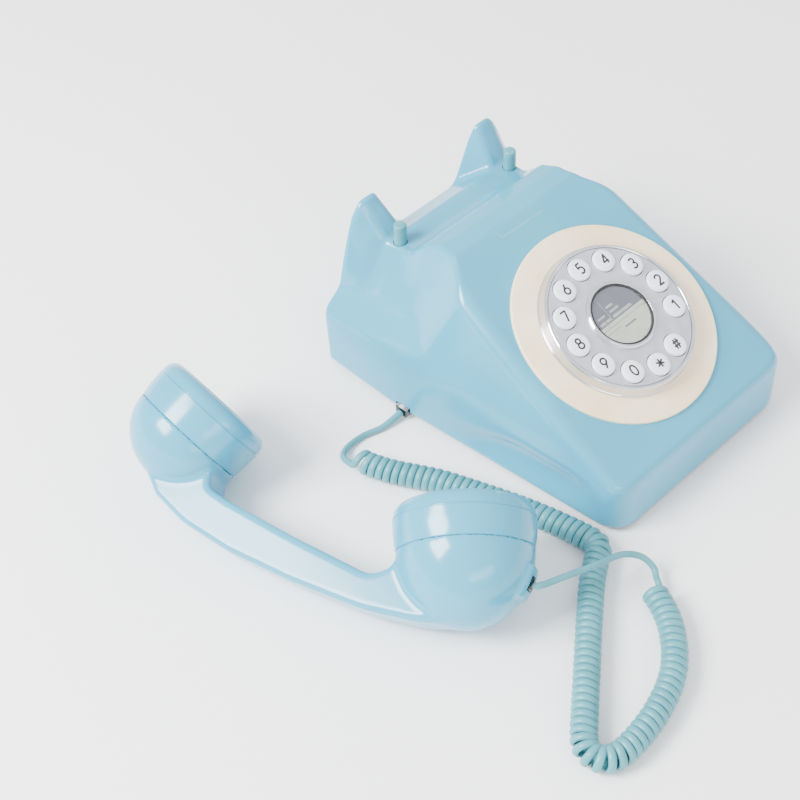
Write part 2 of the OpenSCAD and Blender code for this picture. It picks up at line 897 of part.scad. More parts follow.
// Back to the handset: first beside the coil's end, then up to the plug in the mouth cup.
coil_end = [X(-82) - 1, Y(-131), coil_z];
plug_at = from_h([socket_x, 0, socket_zz]);
route_hand = concat(
    [for (p = [[0, 0, 0.5], [2.5, 3, -1], [6.5, 3.4, -1.5], [10.4, 5, 0]]) coil_end + p],
    [for (p = [[64.4, -18.1, -24.2], [60.8, -14.3, -20.7], [54.8, -11.3, -17.2], [47.2, -9.8, -14.2],
        [38.5, -9.1, -11.2], [26.3, -7.1, -7.2], [14.9, -4.7, -4.2], [6.8, -3.1, -2.2]]) plug_at + p],
    [from_h([socket_x - 2.8, 0, socket_zz]), from_h([socket_x - 1.3, 0, socket_zz])]);

module plug_base() {
    color("whitesmoke")
    translate([X(-82) - 1.5, socket_y - 3.9, floor_z - 2.4])
        cube([X(82) - X(76.5) + 1.5 + 10.4, 7.8, 5.2]);
}

module lead_base() {
    color("paleturquoise")
        tube(smooth(route_base, 4), cord_d, 8);
}

module cord_coil() {
    color("paleturquoise")
        tube(smooth(route_coil, 2), coil_d, 12);
}

module lead_handset() {
    color("paleturquoise")
        tube(smooth(route_hand, 3), cord_d, 8);
}

module plug_handset() {
    color("whitesmoke")
    in_handset()
        translate([socket_x - 0.5, -3.8, socket_zz - 3.2])
            cube([8.9, 7.6, 6.4]);
}

// ---------- output ----------

upper_case();
base_plate();
rubber_feet();
case_screws();
dial_surround();
dial_ring();
dial_faceplate();
label_bezel();
label_gasket();
label_card();
label_lens();
key(0);  // key_1
key(1);  // key_2
key(2);  // key_3
key(3);  // key_4
key(4);  // key_5
key(5);  // key_6
key(6);  // key_7
key(7);  // key_8
key(8);  // key_9
key(9);  // key_0
key(10);  // key_star
key(11);  // key_hash
key_membrane();
key_board();
dial_back_plate();
dial_screws();
plunger(-1);  // plunger_left
plunger(1);  // plunger_right
hook_bar();
hook_springs();
hook_bracket();
hook_switch();
main_board();
board_parts();
ringer_frame();
ringer_magnet();
ballast_plate();
line_socket();
cord_socket();
handset_shell();
handset_cover();
cover_screw();
ear_cap();
mouth_cap();
ear_receiver();
microphone();
handset_weight();
handset_socket();
plug_base();
lead_base();
cord_coil();
lead_handset();
plug_handset();
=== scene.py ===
import math

import bpy
import numpy as np
from bpy.props import FloatProperty, FloatVectorProperty, PointerProperty, StringProperty
from bpy.types import Operator, Panel, PropertyGroup
from mathutils import Matrix, Vector


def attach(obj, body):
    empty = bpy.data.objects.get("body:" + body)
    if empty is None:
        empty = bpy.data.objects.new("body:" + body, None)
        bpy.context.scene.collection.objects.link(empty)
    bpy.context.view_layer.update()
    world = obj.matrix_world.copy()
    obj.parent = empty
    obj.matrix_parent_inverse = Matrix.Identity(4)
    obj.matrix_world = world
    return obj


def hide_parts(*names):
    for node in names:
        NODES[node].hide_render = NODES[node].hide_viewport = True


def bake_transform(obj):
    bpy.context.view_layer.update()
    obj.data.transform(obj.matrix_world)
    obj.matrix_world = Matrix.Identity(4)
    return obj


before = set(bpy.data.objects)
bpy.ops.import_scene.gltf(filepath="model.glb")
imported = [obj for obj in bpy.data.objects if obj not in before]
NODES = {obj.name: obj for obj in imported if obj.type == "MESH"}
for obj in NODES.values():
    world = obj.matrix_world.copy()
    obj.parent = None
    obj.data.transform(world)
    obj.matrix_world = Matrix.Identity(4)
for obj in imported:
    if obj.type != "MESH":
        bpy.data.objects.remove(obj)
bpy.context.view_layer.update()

bl_info = {
    "name": "Push-button desk telephone",
    "version": (1, 0, 0),
    "blender": (4, 5, 0),
    "location": "3D View > Sidebar > Telephone",
    "description": "Builds a retro push-button desk telephone with its handset lying beside it",
    "category": "Add Mesh",
}

MM = 0.001


# ---------- sizes and colours a user may change ----------


def linear(text):
    """Linear colour with alpha 1 from an sRGB hex value such as #a0b0c0."""
    parts = [int(text[i:i + 2], 16) / 255 for i in (1, 3, 5)]
    return tuple(c / 12.92 if c <= 0.04045 else ((c + 0.055) / 1.055) ** 2.4 for c in parts) + (1.0,)


def length(name, millimetres, text):
    """Property for a length, given in millimetres and kept in metres."""
    return FloatProperty(name=name, description=text, default=millimetres * MM, unit="LENGTH", precision=4)


def angle(name, degrees, text):
    """Property for an angle, given in degrees."""
    return FloatProperty(name=name, description=text, default=math.radians(degrees), subtype="ANGLE")


def hue(name, text, about):
    """Property for an sRGB hex colour."""
    return StringProperty(name=name, description=about, default=text)


class TelephoneCase(PropertyGroup):
    edge: length("Face edge radius", 5.5, "Rounding of the long edges beside the sloping face")
    shoulder: length("Shoulder radius", 5, "Rounding where the side panel meets the lower wall")
    ear_edge: length("Ear edge radius", 2.1, "Rounding of the edges of the two ears")
    front_corner: length("Front corner radius", 16, "Radius of the upright front corners")
    scoop: length("Side scoop", 3.6, "Depth of the shallow hollow along the lower side wall")
    cell: length("Surface spacing", 1.25, "Distance between the points of the case surface")


class TelephoneDial(PropertyGroup):
    key_circle: length("Key circle radius", 31.7, "Radius of the circle the keys stand on")
    key_radius: length("Key radius", 6.15, "Radius of each key cap")
    first: angle("First key", -24.6, "Angle of the first key from the right-hand side")
    step: angle("Key step", 28.9, "Angle between neighbouring keys")
    figure: length("Figure height", 5.7, "Height of the figures on the keys")
    stroke: length("Figure stroke", 1.1, "Width of the strokes of the figures")


class TelephoneHandset(PropertyGroup):
    roll: angle("Roll", 63, "Angle the handset lies on its side")
    pitch: angle("Pitch", 3, "Nose-down angle of the handset along its length")
    heading: angle("Heading", 109.1, "Direction the handset points, seen from above")
    span: length("Cup span", 161, "Distance between the middles of the two cups")
    ear_radius: length("Ear cup radius", 31.6, "Radius of the ear cup at its seam")
    mouth_radius: length("Mouth cup radius", 33.6, "Radius of the mouth cup at its seam")
    ear_depth: length("Ear bowl depth", 28.5, "Depth of the bowl behind the ear cup")
    mouth_depth: length("Mouth bowl depth", 37.5, "Depth of the bowl behind the mouth cup")
    cap: length("Cap height", 24, "Height of the ear cap above its seam")
    handle: length("Handle width", 24, "Width of the handle")
    edge: length("Handle edge radius", 3, "Rounding of the long edges of the handle")
    cell: length("Surface spacing", 1.15, "Distance between the points of the shell surface")


class TelephoneCord(PropertyGroup):
    wire: length("Cord diameter", 3.4, "Diameter of the plain cord")
    ring: length("Ring radius", 5.2, "Radius of the coil's rings along the middle of the wire")
    pitch: length("Pitch", 4.15, "Distance from one ring of the coil to the next")
    real: length("Length", 3080, "Real length of the cord, its rings included")
    spacing: length("Point spacing", 1.5, "Distance between the points along the wire")


class TelephoneColours(PropertyGroup):
    body: hue("Body", "#3f9bb8", "Pale blue of the case and the handset")
    body_deep: hue("Body variation", "#3993b1", "Slightly deeper blue the body wanders towards")
    cord: hue("Cord", "#4f959e", "Blue-green of the cord and the hook plungers")
    cord_deep: hue("Cord variation", "#468a92", "Deeper blue-green the cord wanders towards")
    cream: hue("Cream", "#faecca", "Cream of the disc round the dial")
    key: hue("Keys", "#eef1f8", "White of the key caps")
    figure: hue("Figures", "#232326", "Near black of the figures")
    label_dark: hue("Label, upper half", "#80808a", "Grey of the upper half of the label")
    label_pale: hue("Label, lower half", "#f1f1df", "Pale cream of the lower half of the label")


class TelephoneStudio(PropertyGroup):
    azimuth: angle("Azimuth", -43.064, "Direction of the camera round the telephone")
    elevation: angle("Elevation", 46.914, "Height of the camera above the horizon")
    roll: angle("Roll", -2.396, "Tilt of the camera about its own axis")
    distance: length("Distance", 856.06, "Distance from the camera to the middle of the view")
    aim: FloatVectorProperty(name="Aim", description="Point the camera looks at, in metres",
                             default=(-0.09545, 0.02729, 0.0328), subtype="TRANSLATION")
    lens: FloatProperty(name="Lens", description="Focal length in millimetres", default=74.1)
    key_power: FloatProperty(name="Key light", description="Power of the key light in watts", default=52)
    fill_power: FloatProperty(name="Fill light", description="Power of the fill light in watts", default=4)
    world: FloatProperty(name="Sky light", description="Strength of the even light all round", default=1.9)


def of(group, name):
    """A length property of a group in millimetres."""
    return getattr(group, name) / MM


# ---------- frames, curves and outlines, all in millimetres ----------


def turned(axis, degrees):
    """Rotation matrix about one axis."""
    return np.array(Matrix.Rotation(math.radians(degrees), 3, axis))


class Place:
    """A local frame: its middle and its three directions as columns."""

    def __init__(self, middle, turn):
        self.middle = np.asarray(middle, float)
        self.turn = turn

    def out(self, points):
        """Points of this frame in the frame of the table."""
        return np.asarray(points, float) @ self.turn.T + self.middle

    def into(self, x, y, z):
        """Coordinates in this frame of points given in the outer frame."""
        d = (x - self.middle[0], y - self.middle[1], z - self.middle[2])
        return tuple(sum(self.turn[i, j] * d[i] for i in range(3)) for j in range(3))


TABLE = Place((0, 0, 0), np.eye(3))

# Side view of the sloping face: the top of the lip and the front of the crest, as y and z.
LIP = np.array((-98.7, 33.0))
CREST = np.array((35.0, 95.5))
FACE_TILT = math.degrees(math.atan2(CREST[1] - LIP[1], CREST[0] - LIP[0]))
DIAL_SHARE = 0.479
FACE = Place((0, *(LIP + (CREST - LIP) * DIAL_SHARE)), turned("X", FACE_TILT))


def arc_corner(a, b, c, r, steps):
    """Arc that rounds the corner b between a and c by the radius r."""
    a, b, c = (np.array(p[:2], float) for p in (a, b, c))
    u, v = (a - b) / np.linalg.norm(a - b), (c - b) / np.linalg.norm(c - b)
    half = math.acos(np.clip(u @ v, -1, 1)) / 2
    middle = b + (u + v) / np.linalg.norm(u + v) * r / math.sin(half)
    s, e = b + u * r / math.tan(half) - middle, b + v * r / math.tan(half) - middle
    sweep = (math.pi - 2 * half) * (1 if s[0] * e[1] - s[1] * e[0] > 0 else -1)
    for i in range(steps + 1):
        t = sweep * i / steps
        yield middle + (s[0] * math.cos(t) - s[1] * math.sin(t), s[0] * math.sin(t) + s[1] * math.cos(t))


def rounded(outline, steps=6):
    """Outline with each corner (x, y, r) rounded by its own radius r."""
    made = []
    for i, b in enumerate(outline):
        a, c = outline[i - 1], outline[(i + 1) % len(outline)]
        made += list(arc_corner(a, b, c, b[2], steps)) if b[2] > 0 else [np.array(b[:2], float)]
    return np.array(made)


def smooth_route(points, steps=12):
    """Smooth curve through the points of a route."""
    p = np.array(points, float)
    made = []
    for i in range(len(p) - 1):
        a, b, c, d = p[max(i - 1, 0)], p[i], p[i + 1], p[min(i + 2, len(p) - 1)]
        for t in np.arange(steps) / steps:
            made.append(0.5 * (2 * b + (c - a) * t + (2 * a - 5 * b + 4 * c - d) * t * t
                               + (3 * b - a - 3 * c + d) * t ** 3))
    return np.array(made + [p[-1]])


def spaced(points, spacing):
    """The same line with points at even distances."""
    run = np.concatenate(([0], np.cumsum(np.linalg.norm(np.diff(points, axis=0), axis=1))))
    at = np.linspace(0, run[-1], max(2, int(round(run[-1] / spacing)) + 1))
    return np.array([np.interp(at, run, points[:, k]) for k in range(points.shape[1])]).T


def outline_distance(outline, u, v):
    """Distance from (u, v) to a closed outline, negative inside it."""
    shape = np.broadcast(u, v).shape
    nearest = np.full(shape, 1e9)
    inside = np.zeros(shape, bool)
    for (u0, v0), (u1, v1) in zip(outline, np.roll(outline, -1, axis=0)):
        eu, ev = u1 - u0, v1 - v0
        t = np.clip(((u - u0) * eu + (v - v0) * ev) / (eu * eu + ev * ev + 1e-12), 0, 1)
        nearest = np.minimum(nearest, (u - u0 - eu * t) ** 2 + (v - v0 - ev * t) ** 2)
        if abs(ev) > 1e-12:
            inside ^= ((v0 > v) != (v1 > v)) & (u < eu * (v - v0) / ev + u0)
    return np.where(inside, -1, 1) * np.sqrt(nearest)


def both(a, b, r=0.0):
    """Shape that lies in a and in b, its outer edge rounded by r. Shapes are distances, negative inside."""
    return np.minimum(np.maximum(a, b), -r) + np.hypot(np.maximum(a + r, 0), np.maximum(b + r, 0))


def either(a, b, r=0.0):
    """Shape that lies in a or in b, its inner corner filled by the radius r."""
    return -both(-a, -b, r)


def slab(x, y, z, low, high):
    """Distance to a box given by two corners."""
    sides = [np.maximum(low[i] - v, v - high[i]) for i, v in enumerate((x, y, z))]
    return np.maximum(np.maximum(sides[0], sides[1]), sides[2])


def slope(distance, p, reach=0.05):
    """Direction in which the distance grows fastest."""
    made = []
    for axis in range(3):
        step = np.zeros(3)
        step[axis] = reach
        made.append((distance(*(p + step).T) - distance(*(p - step).T)) / (2 * reach))
    return np.array(made).T


def settled(distance, p, most):
    """Points moved onto the surface where the distance is zero, none of them further than most."""
    start = p.copy()
    for _ in range(4):
        g = slope(distance, p)
        p = p - (distance(*p.T) / np.maximum((g * g).sum(1), 0.2))[:, None] * g
        moved = p - start
        far = np.maximum(np.linalg.norm(moved, axis=1) / most, 1)
        p = start + moved / far[:, None]
    return p


def skin(distance, low, high, cell):
    """Closed surface of a shape: one point in each cell that the surface crosses, then settled onto it."""
    axes = [np.arange(a, b + cell, cell) for a, b in zip(low, high)]
    grid = distance(axes[0][:, None, None], axes[1][None, :, None], axes[2][None, None, :])
    grid = np.ascontiguousarray(np.broadcast_to(grid, [len(a) for a in axes]))
    cells = tuple(len(a) - 1 for a in axes)
    total, count, crossings = np.zeros(cells + (3,)), np.zeros(cells), []
    for a in range(3):
        b, c = (a + 1) % 3, (a + 2) % 3
        near = np.delete(grid, -1, axis=a)
        far = np.delete(grid, 0, axis=a)
        at = np.argwhere((near < 0) != (far < 0))
        first, second = near[tuple(at.T)], far[tuple(at.T)]
        spot = at.astype(float)
        spot[:, a] += first / (first - second)
        for db, dc in ((0, 0), (-1, 0), (0, -1), (-1, -1)):
            cell_at = at.copy()
            cell_at[:, b] += db
            cell_at[:, c] += dc
            np.add.at(total, tuple(cell_at.T), spot)
            np.add.at(count, tuple(cell_at.T), 1)
        crossings.append((a, at, first < 0))
    used = np.argwhere(count > 0)
    number = np.full(cells, -1)
    number[tuple(used.T)] = np.arange(len(used))
    points = total[tuple(used.T)] / count[tuple(used.T)][:, None] * cell + np.array([a[0] for a in axes])
    faces = []
    for a, at, outward in crossings:
        b, c = (a + 1) % 3, (a + 2) % 3
        corners = []
        for db, dc in ((-1, -1), (0, -1), (0, 0), (-1, 0)):
            cell_at = at.copy()
            cell_at[:, b] += db
            cell_at[:, c] += dc
            corners.append(number[tuple(cell_at.T)])
        quad = np.array(corners).T
        faces.append(np.where(outward[:, None], quad, quad[:, ::-1]))
    return settled(distance, points, cell), np.concatenate(faces)


def lathe(profile, steps, closed=False):
    """Surface of revolution of (r, z) points about the Z axis."""
    points, rows, faces = [], [], []
    for r, z in profile:
        around = 1 if r < 1e-6 else steps
        rows.append(range(len(points), len(points) + around))
        points += [(r * math.cos(math.tau * i / steps), r * math.sin(math.tau * i / steps), z)
                   for i in range(around)]
    for i in range(len(rows) - (0 if closed else 1)):
        a, b = rows[i], rows[(i + 1) % len(rows)]
        for j in range(steps):
            k = (j + 1) % steps
            quad = [a[j % len(a)], a[k % len(a)], b[k % len(b)], b[j % len(b)]]
            face = list(dict.fromkeys(quad))
            if len(face) > 2:
                faces.append(face)
    return np.array(points), faces


def sweep(points, upward, sections):
    """Closed tube along points. Each section is a ring of (side, up) offsets, up lying along upward."""
    ahead = np.gradient(points, axis=0)
    ahead /= np.linalg.norm(ahead, axis=1)[:, None]
    up = upward - (upward * ahead).sum(1)[:, None] * ahead
    up /= np.linalg.norm(up, axis=1)[:, None]
    side = np.cross(ahead, up)
    sections = np.asarray(sections, float)
    made = points[:, None] + sections[..., 0:1] * side[:, None] + sections[..., 1:2] * up[:, None]
    n, m = len(points), sections.shape[-2]
    faces = [[i * m + j, i * m + (j + 1) % m, (i + 1) * m + (j + 1) % m, (i + 1) * m + j]
             for i in range(n - 1) for j in range(m)]
    return made.reshape(-1, 3), faces + [list(range(m))[::-1], list(range((n - 1) * m, n * m))]


def prism(outline, low, high, plane="xy"):
    """Closed block: an outline drawn out from low to high across its plane."""
    order = {"xy": (0, 1, 2), "xz": (0, 2, 1)}[plane]
    points = np.zeros((2 * len(outline), 3))
    for row, level in ((slice(0, len(outline)), low), (slice(len(outline), None), high)):
        points[row, order[0]], points[row, order[1]] = outline[:, 0], outline[:, 1]
        points[row, order[2]] = level
    n = len(outline)
    sides = [[i, (i + 1) % n, n + (i + 1) % n, n + i] for i in range(n)]
    return points, sides + [list(range(n))[::-1], list(range(n, 2 * n))]


def block(low, high):
    """Closed box between two corners."""
    outline = np.array([(low[0], low[1]), (high[0], low[1]), (high[0], high[1]), (low[0], high[1])], float)
    return prism(outline, low[2], high[2])


# ---------- pieces ----------


def mesh_of(name, points, faces, place=TABLE):
    """Mesh in metres with its faces turned outwards."""
    mesh = bpy.data.meshes.new(name)
    mesh.from_pydata((place.out(points) * MM).tolist(), [], [list(map(int, f)) for f in faces])
    mesh.validate()
    volume = 0.0
    corner = np.array([v.co for v in mesh.vertices])
    for f in mesh.polygons:
        ring = corner[list(f.vertices)]
        volume += float(np.cross(ring[1:-1] - ring[0], ring[2:] - ring[0]).sum(0) @ ring[0])
    if volume < 0:
        mesh.flip_normals()
    return mesh


def shade(mesh, sharp=32):
    """Smooth shading that stays crisp on edges sharper than the given angle."""
    mesh.polygons.foreach_set("use_smooth", [True] * len(mesh.polygons))
    mesh.set_sharp_from_angle(angle=math.radians(sharp))


def add_piece(name, mesh, materials):
    """Object with its materials, linked to the scene."""
    made = bpy.data.objects.new(name, mesh)
    bpy.context.scene.collection.objects.link(made)
    for m in materials:
        mesh.materials.append(m)
    shade(mesh)
    return made


def carved(piece, cutters):
    """Cuts closed (points, faces, place, material or None) shapes out of a piece, one after another."""
    for points, faces, place, material in cutters:
        tool = bpy.data.objects.new("cutter", mesh_of("cutter", points, faces, place))
        bpy.context.scene.collection.objects.link(tool)
        if material:
            tool.data.materials.append(material)
        step = piece.modifiers.new("cut", "BOOLEAN")
        step.operation, step.solver, step.object = "DIFFERENCE", "EXACT", tool
        step.material_mode = "TRANSFER" if material else "INDEX"
        bpy.context.view_layer.update()
        cut = bpy.data.meshes.new_from_object(piece.evaluated_get(bpy.context.evaluated_depsgraph_get()))
        piece.modifiers.clear()
        piece.data = cut
        bpy.data.objects.remove(tool)
    shade(piece.data)
    return piece


def settle_on(piece, body, slot, *nodes):
    """The piece moves with a body and stands for CAD nodes; the record slot is not used."""
    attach(piece, body)
    if nodes:
        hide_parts(*nodes)
    return piece


def finish_node(name, material, edge=0.0):
    """Keeps a CAD node's shape, gives it a material and eases its edges by a radius in millimetres."""
    node = NODES[name]
    for s in node.material_slots:
        s.material = material
    if edge:
        weld = node.modifiers.new("weld", "WELD")
        weld.merge_threshold = 0.005 * MM
        ease = node.modifiers.new("eased edges", "BEVEL")
        ease.width, ease.segments, ease.angle_limit = edge * MM, 2, math.radians(40)
        ease.harden_normals = False


# ---------- materials ----------


def add(tree, kind, sockets=None, **settings):
    """Adds a node: its settings, then each socket's value or the output that feeds it."""
    made = tree.nodes.new(kind)
    for key, value in settings.items():
        setattr(made, key, value)
    for key, value in (sockets or {}).items():
        if isinstance(value, bpy.types.NodeSocket):
            tree.links.new(value, made.inputs[key])
        else:
            made.inputs[key].default_value = value
    return made


def surfaced(name, colours, patch, rough, rough_swing, grain, relief, principled=None, stretch=(1, 1, 1)):
    """Material whose colour wanders between two hex colours in patches, whose gloss wanders a little
    and whose surface has a fine relief. patch, grain and relief are sizes in millimetres."""
    made = bpy.data.materials.new(name)
    made.use_nodes = True
    tree = made.node_tree
    shader = next(n for n in tree.nodes if n.type == "BSDF_PRINCIPLED")
    where = add(tree, "ShaderNodeTexCoord").outputs["Object"]
    where = add(tree, "ShaderNodeMapping", {"Vector": where, "Scale": stretch}).outputs["Vector"]
    wander = add(tree, "ShaderNodeTexNoise", {"Vector": where, "Scale": 1 / (patch * MM), "Detail": 3.0})
    blend = colour_mix(tree, wander.outputs["Fac"], linear(colours[0]), linear(colours[1]))
    tree.links.new(blend, shader.inputs["Base Color"])
    dull = add(tree, "ShaderNodeMapRange", {"Value": wander.outputs["Fac"], "From Min": 0.3, "From Max": 0.7,
                                            "To Min": rough - rough_swing, "To Max": rough + rough_swing})
    tree.links.new(dull.outputs["Result"], shader.inputs["Roughness"])
    fine = add(tree, "ShaderNodeTexNoise", {"Vector": where, "Scale": 1 / (grain * MM), "Detail": 2.0})
    bump = add(tree, "ShaderNodeBump", {"Height": fine.outputs["Fac"], "Distance": relief * MM, "Strength": 1.0})
    tree.links.new(bump.outputs["Normal"], shader.inputs["Normal"])
    for key, value in (principled or {}).items():
        shader.inputs[key].default_value = value
    return made


def colour_mix(tree, factor, first, second):
    """Output that blends two colours by a factor."""
    ramp = add(tree, "ShaderNodeValToRGB", {"Fac": factor})
    ramp.color_ramp.elements[0].position, ramp.color_ramp.elements[0].color = 0.35, first
    ramp.color_ramp.elements[1].position, ramp.color_ramp.elements[1].color = 0.65, second
    return ramp.outputs["Color"]


FINISHES = {}


def finishes():
    """All materials of the telephone by their short names, made once."""
    if FINISHES:
        return FINISHES
    c = bpy.context.scene.telephone_colours
    plastic = {"IOR": 1.53}
    made = {
        # Polished moulded ABS: soft broad highlights, a faint waviness and barely uneven colour.
        "body": surfaced("blue_abs_polished", (c.body, c.body_deep), 60, 0.17, 0.03, 9, 0.012, plastic),
        # The same ABS with painted shade, for the inside of narrow seams and the walls of cut openings: darker
        # and dull, so the joint reads as a fine line.
        "seam": surfaced("blue_abs_painted_shade", ("#7fa9b8", "#749dab"), 12, 0.5, 0.05, 2, 0.01, plastic),
        # Soft PVC jacket: matt sheen with slightly uneven colour from one turn to the next.
        "cord": surfaced("cord_pvc_extruded", (c.cord, c.cord_deep), 14, 0.42, 0.05, 1.2, 0.015, {"IOR": 1.52}),
        # Plungers moulded in the cord's colour, a little glossier.
        "plunger": surfaced("plunger_abs_moulded", (c.cord, c.cord_deep), 6, 0.32, 0.04, 1.0, 0.01, plastic),
        # Cream ABS disc: satin moulded face, warm with faint clouding.
        "cream": surfaced("cream_abs_satin", (c.cream, "#f2dab2"), 35, 0.36, 0.04, 1.6, 0.01, plastic),
        # Glossy white key caps with a slight cool tint.
        "key": surfaced("key_abs_gloss", (c.key, "#e4e8f2"), 4, 0.22, 0.03, 2.5, 0.006, plastic),
        # Printed ink on the keys and label: flat black with a slight break-up. The same near black is painted
        # shade on the walls and floors of the holes in the handset caps.
        "ink": surfaced("figure_ink", (c.figure, "#303036"), 0.8, 0.5, 0.06, 0.4, 0.004),
        # Chrome plating on ABS: mirror-like with faint haze.
        "chrome": surfaced("chrome_plated", ("#d6d7db", "#cdced4"), 8, 0.09, 0.03, 3, 0.002, {"Metallic": 1.0}),
        # Satin painted metal faceplate: fine even grit under a silver coat.
        "satin": surfaced("silver_satin_painted", ("#c9cad0", "#c0c1c8"), 5, 0.38, 0.04, 0.5, 0.006,
                          {"Metallic": 0.7}),
        # Zinc-plated steel screws and springs: bright grey with faint tarnish.
        "steel": surfaced("steel_zinc_plated", ("#b9bcc0", "#9fa3a8"), 2, 0.28, 0.08, 0.6, 0.005,
                          {"Metallic": 1.0}),
        # Rolled iron weights: dark, cloudy and dull.
        "iron": surfaced("iron_rolled", ("#6b6d70", "#55575a"), 6, 0.55, 0.1, 0.8, 0.03, {"Metallic": 1.0}),
        # Black ABS with a fine moulded texture, matt.
        "black": surfaced("black_abs_textured", ("#26282b", "#1f2123"), 9, 0.52, 0.05, 0.7, 0.03, plastic),
        # Dark dial back plate and membrane: soft black silicone rubber. The same black is painted shade on the
        # walls of the faceplate's key holes.
        "rubber": surfaced("black_silicone_and_hole_shade", ("#2c2d30", "#242528"), 5, 0.62, 0.05, 0.6, 0.02),
        # Grey foot rubber: matt and slightly dusty.
        "foot": surfaced("foot_rubber_moulded", ("#56595c", "#4a4d50"), 3, 0.75, 0.06, 0.5, 0.03),
        # Solder-masked board: green, half gloss.
        "board": surfaced("board_solder_mask", ("#1f5a35", "#1a4f2e"), 6, 0.38, 0.06, 1.0, 0.01),
        # Ivory socket plastic.
        "ivory": surfaced("ivory_abs", ("#ece7d8", "#e3ddcb"), 8, 0.35, 0.04, 1.0, 0.008, plastic),
        # Label card, upper and lower halves, and the pale marks on it: coated paper.
        "card_dark": surfaced("card_grey_printed", (c.label_dark, "#787882"), 6, 0.5, 0.04, 0.5, 0.006),
        "card_pale": surfaced("card_cream_printed", (c.label_pale, "#eaead4"), 6, 0.5, 0.04, 0.5, 0.006),
        "card_mark": surfaced("card_mark_printed", ("#d9d9d6", "#cfcfcb"), 2, 0.5, 0.04, 0.5, 0.006),
        # Clear acrylic lens and polycarbonate plug: see-through with a soft reflection.
        "clear": surfaced("acrylic_clear_polished", ("#fbfdff", "#f6fafc"), 10, 0.05, 0.015, 4, 0.002,
                          {"IOR": 1.49, "Transmission Weight": 1.0}),
    }
    FINISHES.update(made)
    return FINISHES


# ---------- studio ----------


def area_light(name, spot, aim, wide, high, power, tint="#ffffff"):
    """Large soft light at a spot, facing a point, in metres."""
    data = bpy.data.lights.new(name, "AREA")
    data.shape, data.size, data.size_y, data.energy = "RECTANGLE", wide, high, power
    data.color = linear(tint)[:3]
    made = bpy.data.objects.new(name, data)
    made.location = spot
    made.rotation_euler = (Vector(aim) - Vector(spot)).to_track_quat("-Z", "Y").to_euler()
    bpy.context.scene.collection.objects.link(made)


def build_studio(s):
    """Camera, lights and a pale floor."""
    a, e, roll = s.azimuth, s.elevation, s.roll
    back = Vector((math.sin(a) * math.cos(e), -math.cos(a) * math.cos(e), math.sin(e)))
    right = Vector((math.cos(a), math.sin(a), 0))
    up = back.cross(right)
    side = right * math.cos(roll) + up * math.sin(roll)
    head = up * math.cos(roll) - right * math.sin(roll)
    data = bpy.data.cameras.new("camera")
    data.sensor_width, data.lens = 36, s.lens
    camera = bpy.data.objects.new("camera", data)
    turn = Matrix((side, head, back)).transposed().to_4x4()
    camera.matrix_world = Matrix.Translation(Vector(s.aim) + back * s.distance) @ turn
    bpy.context.scene.collection.objects.link(camera)
    bpy.context.scene.camera = camera

    aim = tuple(s.aim)
    area_light("key_light", (-1.0, 0.35, 0.95), aim, 0.6, 0.6, s.key_power)
    area_light("fill_light", (-0.5, -1.1, 0.5), aim, 0.9, 0.25, s.fill_power)
    world = bpy.data.worlds.new("even_light")
    world.use_nodes = True
    world.node_tree.nodes["Background"].inputs["Color"].default_value = linear("#fbfcff")
    world.node_tree.nodes["Background"].inputs["Strength"].default_value = s.world
    bpy.context.scene.world = world

    points, faces = block((-4000, -4000, -20), (4000, 4000, 0))
    # Matt painted studio floor: near white, with hardly any gloss.
    paper = surfaced("studio_floor_matt", ("#fbfbfb", "#f8f8f8"), 300, 0.9, 0.03, 2, 0.01)
    floor = add_piece("studio_floor", mesh_of("studio_floor", points, faces), [paper])


# ---------- cord ----------

# Where the cord leaves the base, its coil's middle line and its way back up to the handset.
LEAD_FROM_BASE = [(-83.5, 40, 4.2), (-89.5, 40, 3.4), (-97.5, 41, 2.2), (-107.5, 44, 2), (-116.5, 44.2, 2.4),
                  (-123.6, 42, 3.6), (-128, 37.5, 5.6)]
COIL = [(-124, 31), (-122, 22.5), (-118, 12.5), (-112, 1.5), (-106, -9.5), (-100.8, -22), (-96, -35),
        (-91, -49), (-86.7, -63), (-83.2, -77), (-81, -88), (-80.2, -94), (-82.2, -98.6), (-87.5, -101.8),
        (-98.3, -108.3), (-110.4, -117.3), (-125.8, -129.3), (-140.5, -141), (-154.8, -152.3),
        (-165, -160.5), (-170.8, -165.8), (-173.3, -171.5), (-171.2, -177.5), (-165, -180.8),
        (-156.5, -181.3), (-147, -180.6), (-137, -179), (-130.5, -177.3), (-124.5, -175.5),
        (-117.3, -172.6), (-110.5, -168.8), (-103.5, -163.5), (-97.2, -157.3), (-91.8, -150.7),
        (-88, -144.3), (-85, -137.8), (-83, -131.5)]
COIL_HEIGHT = 7.0
# The wire swells a little into its sleeve at the base, and is slightly flattened where it is coiled.
SLEEVE_LENGTH, SLEEVE_SWELL = 14, 0.35
RIBBON_WIDER, RIBBON_THINNER = 0.34, 0.2
CORD_SIDES = 10
LEAD_TO_HANDSET = [(-75.4, -129.6, 6.2), (-72.8, -126, 7.4), (-73.6, -121.4, 11), (-77, -117.6, 14.5),
                   (-83, -114.6, 18), (-90.6, -113.1, 21), (-99.3, -112.4, 24), (-111.5, -110.4, 28),
                   (-122.9, -108, 31), (-131, -106.4, 33)]


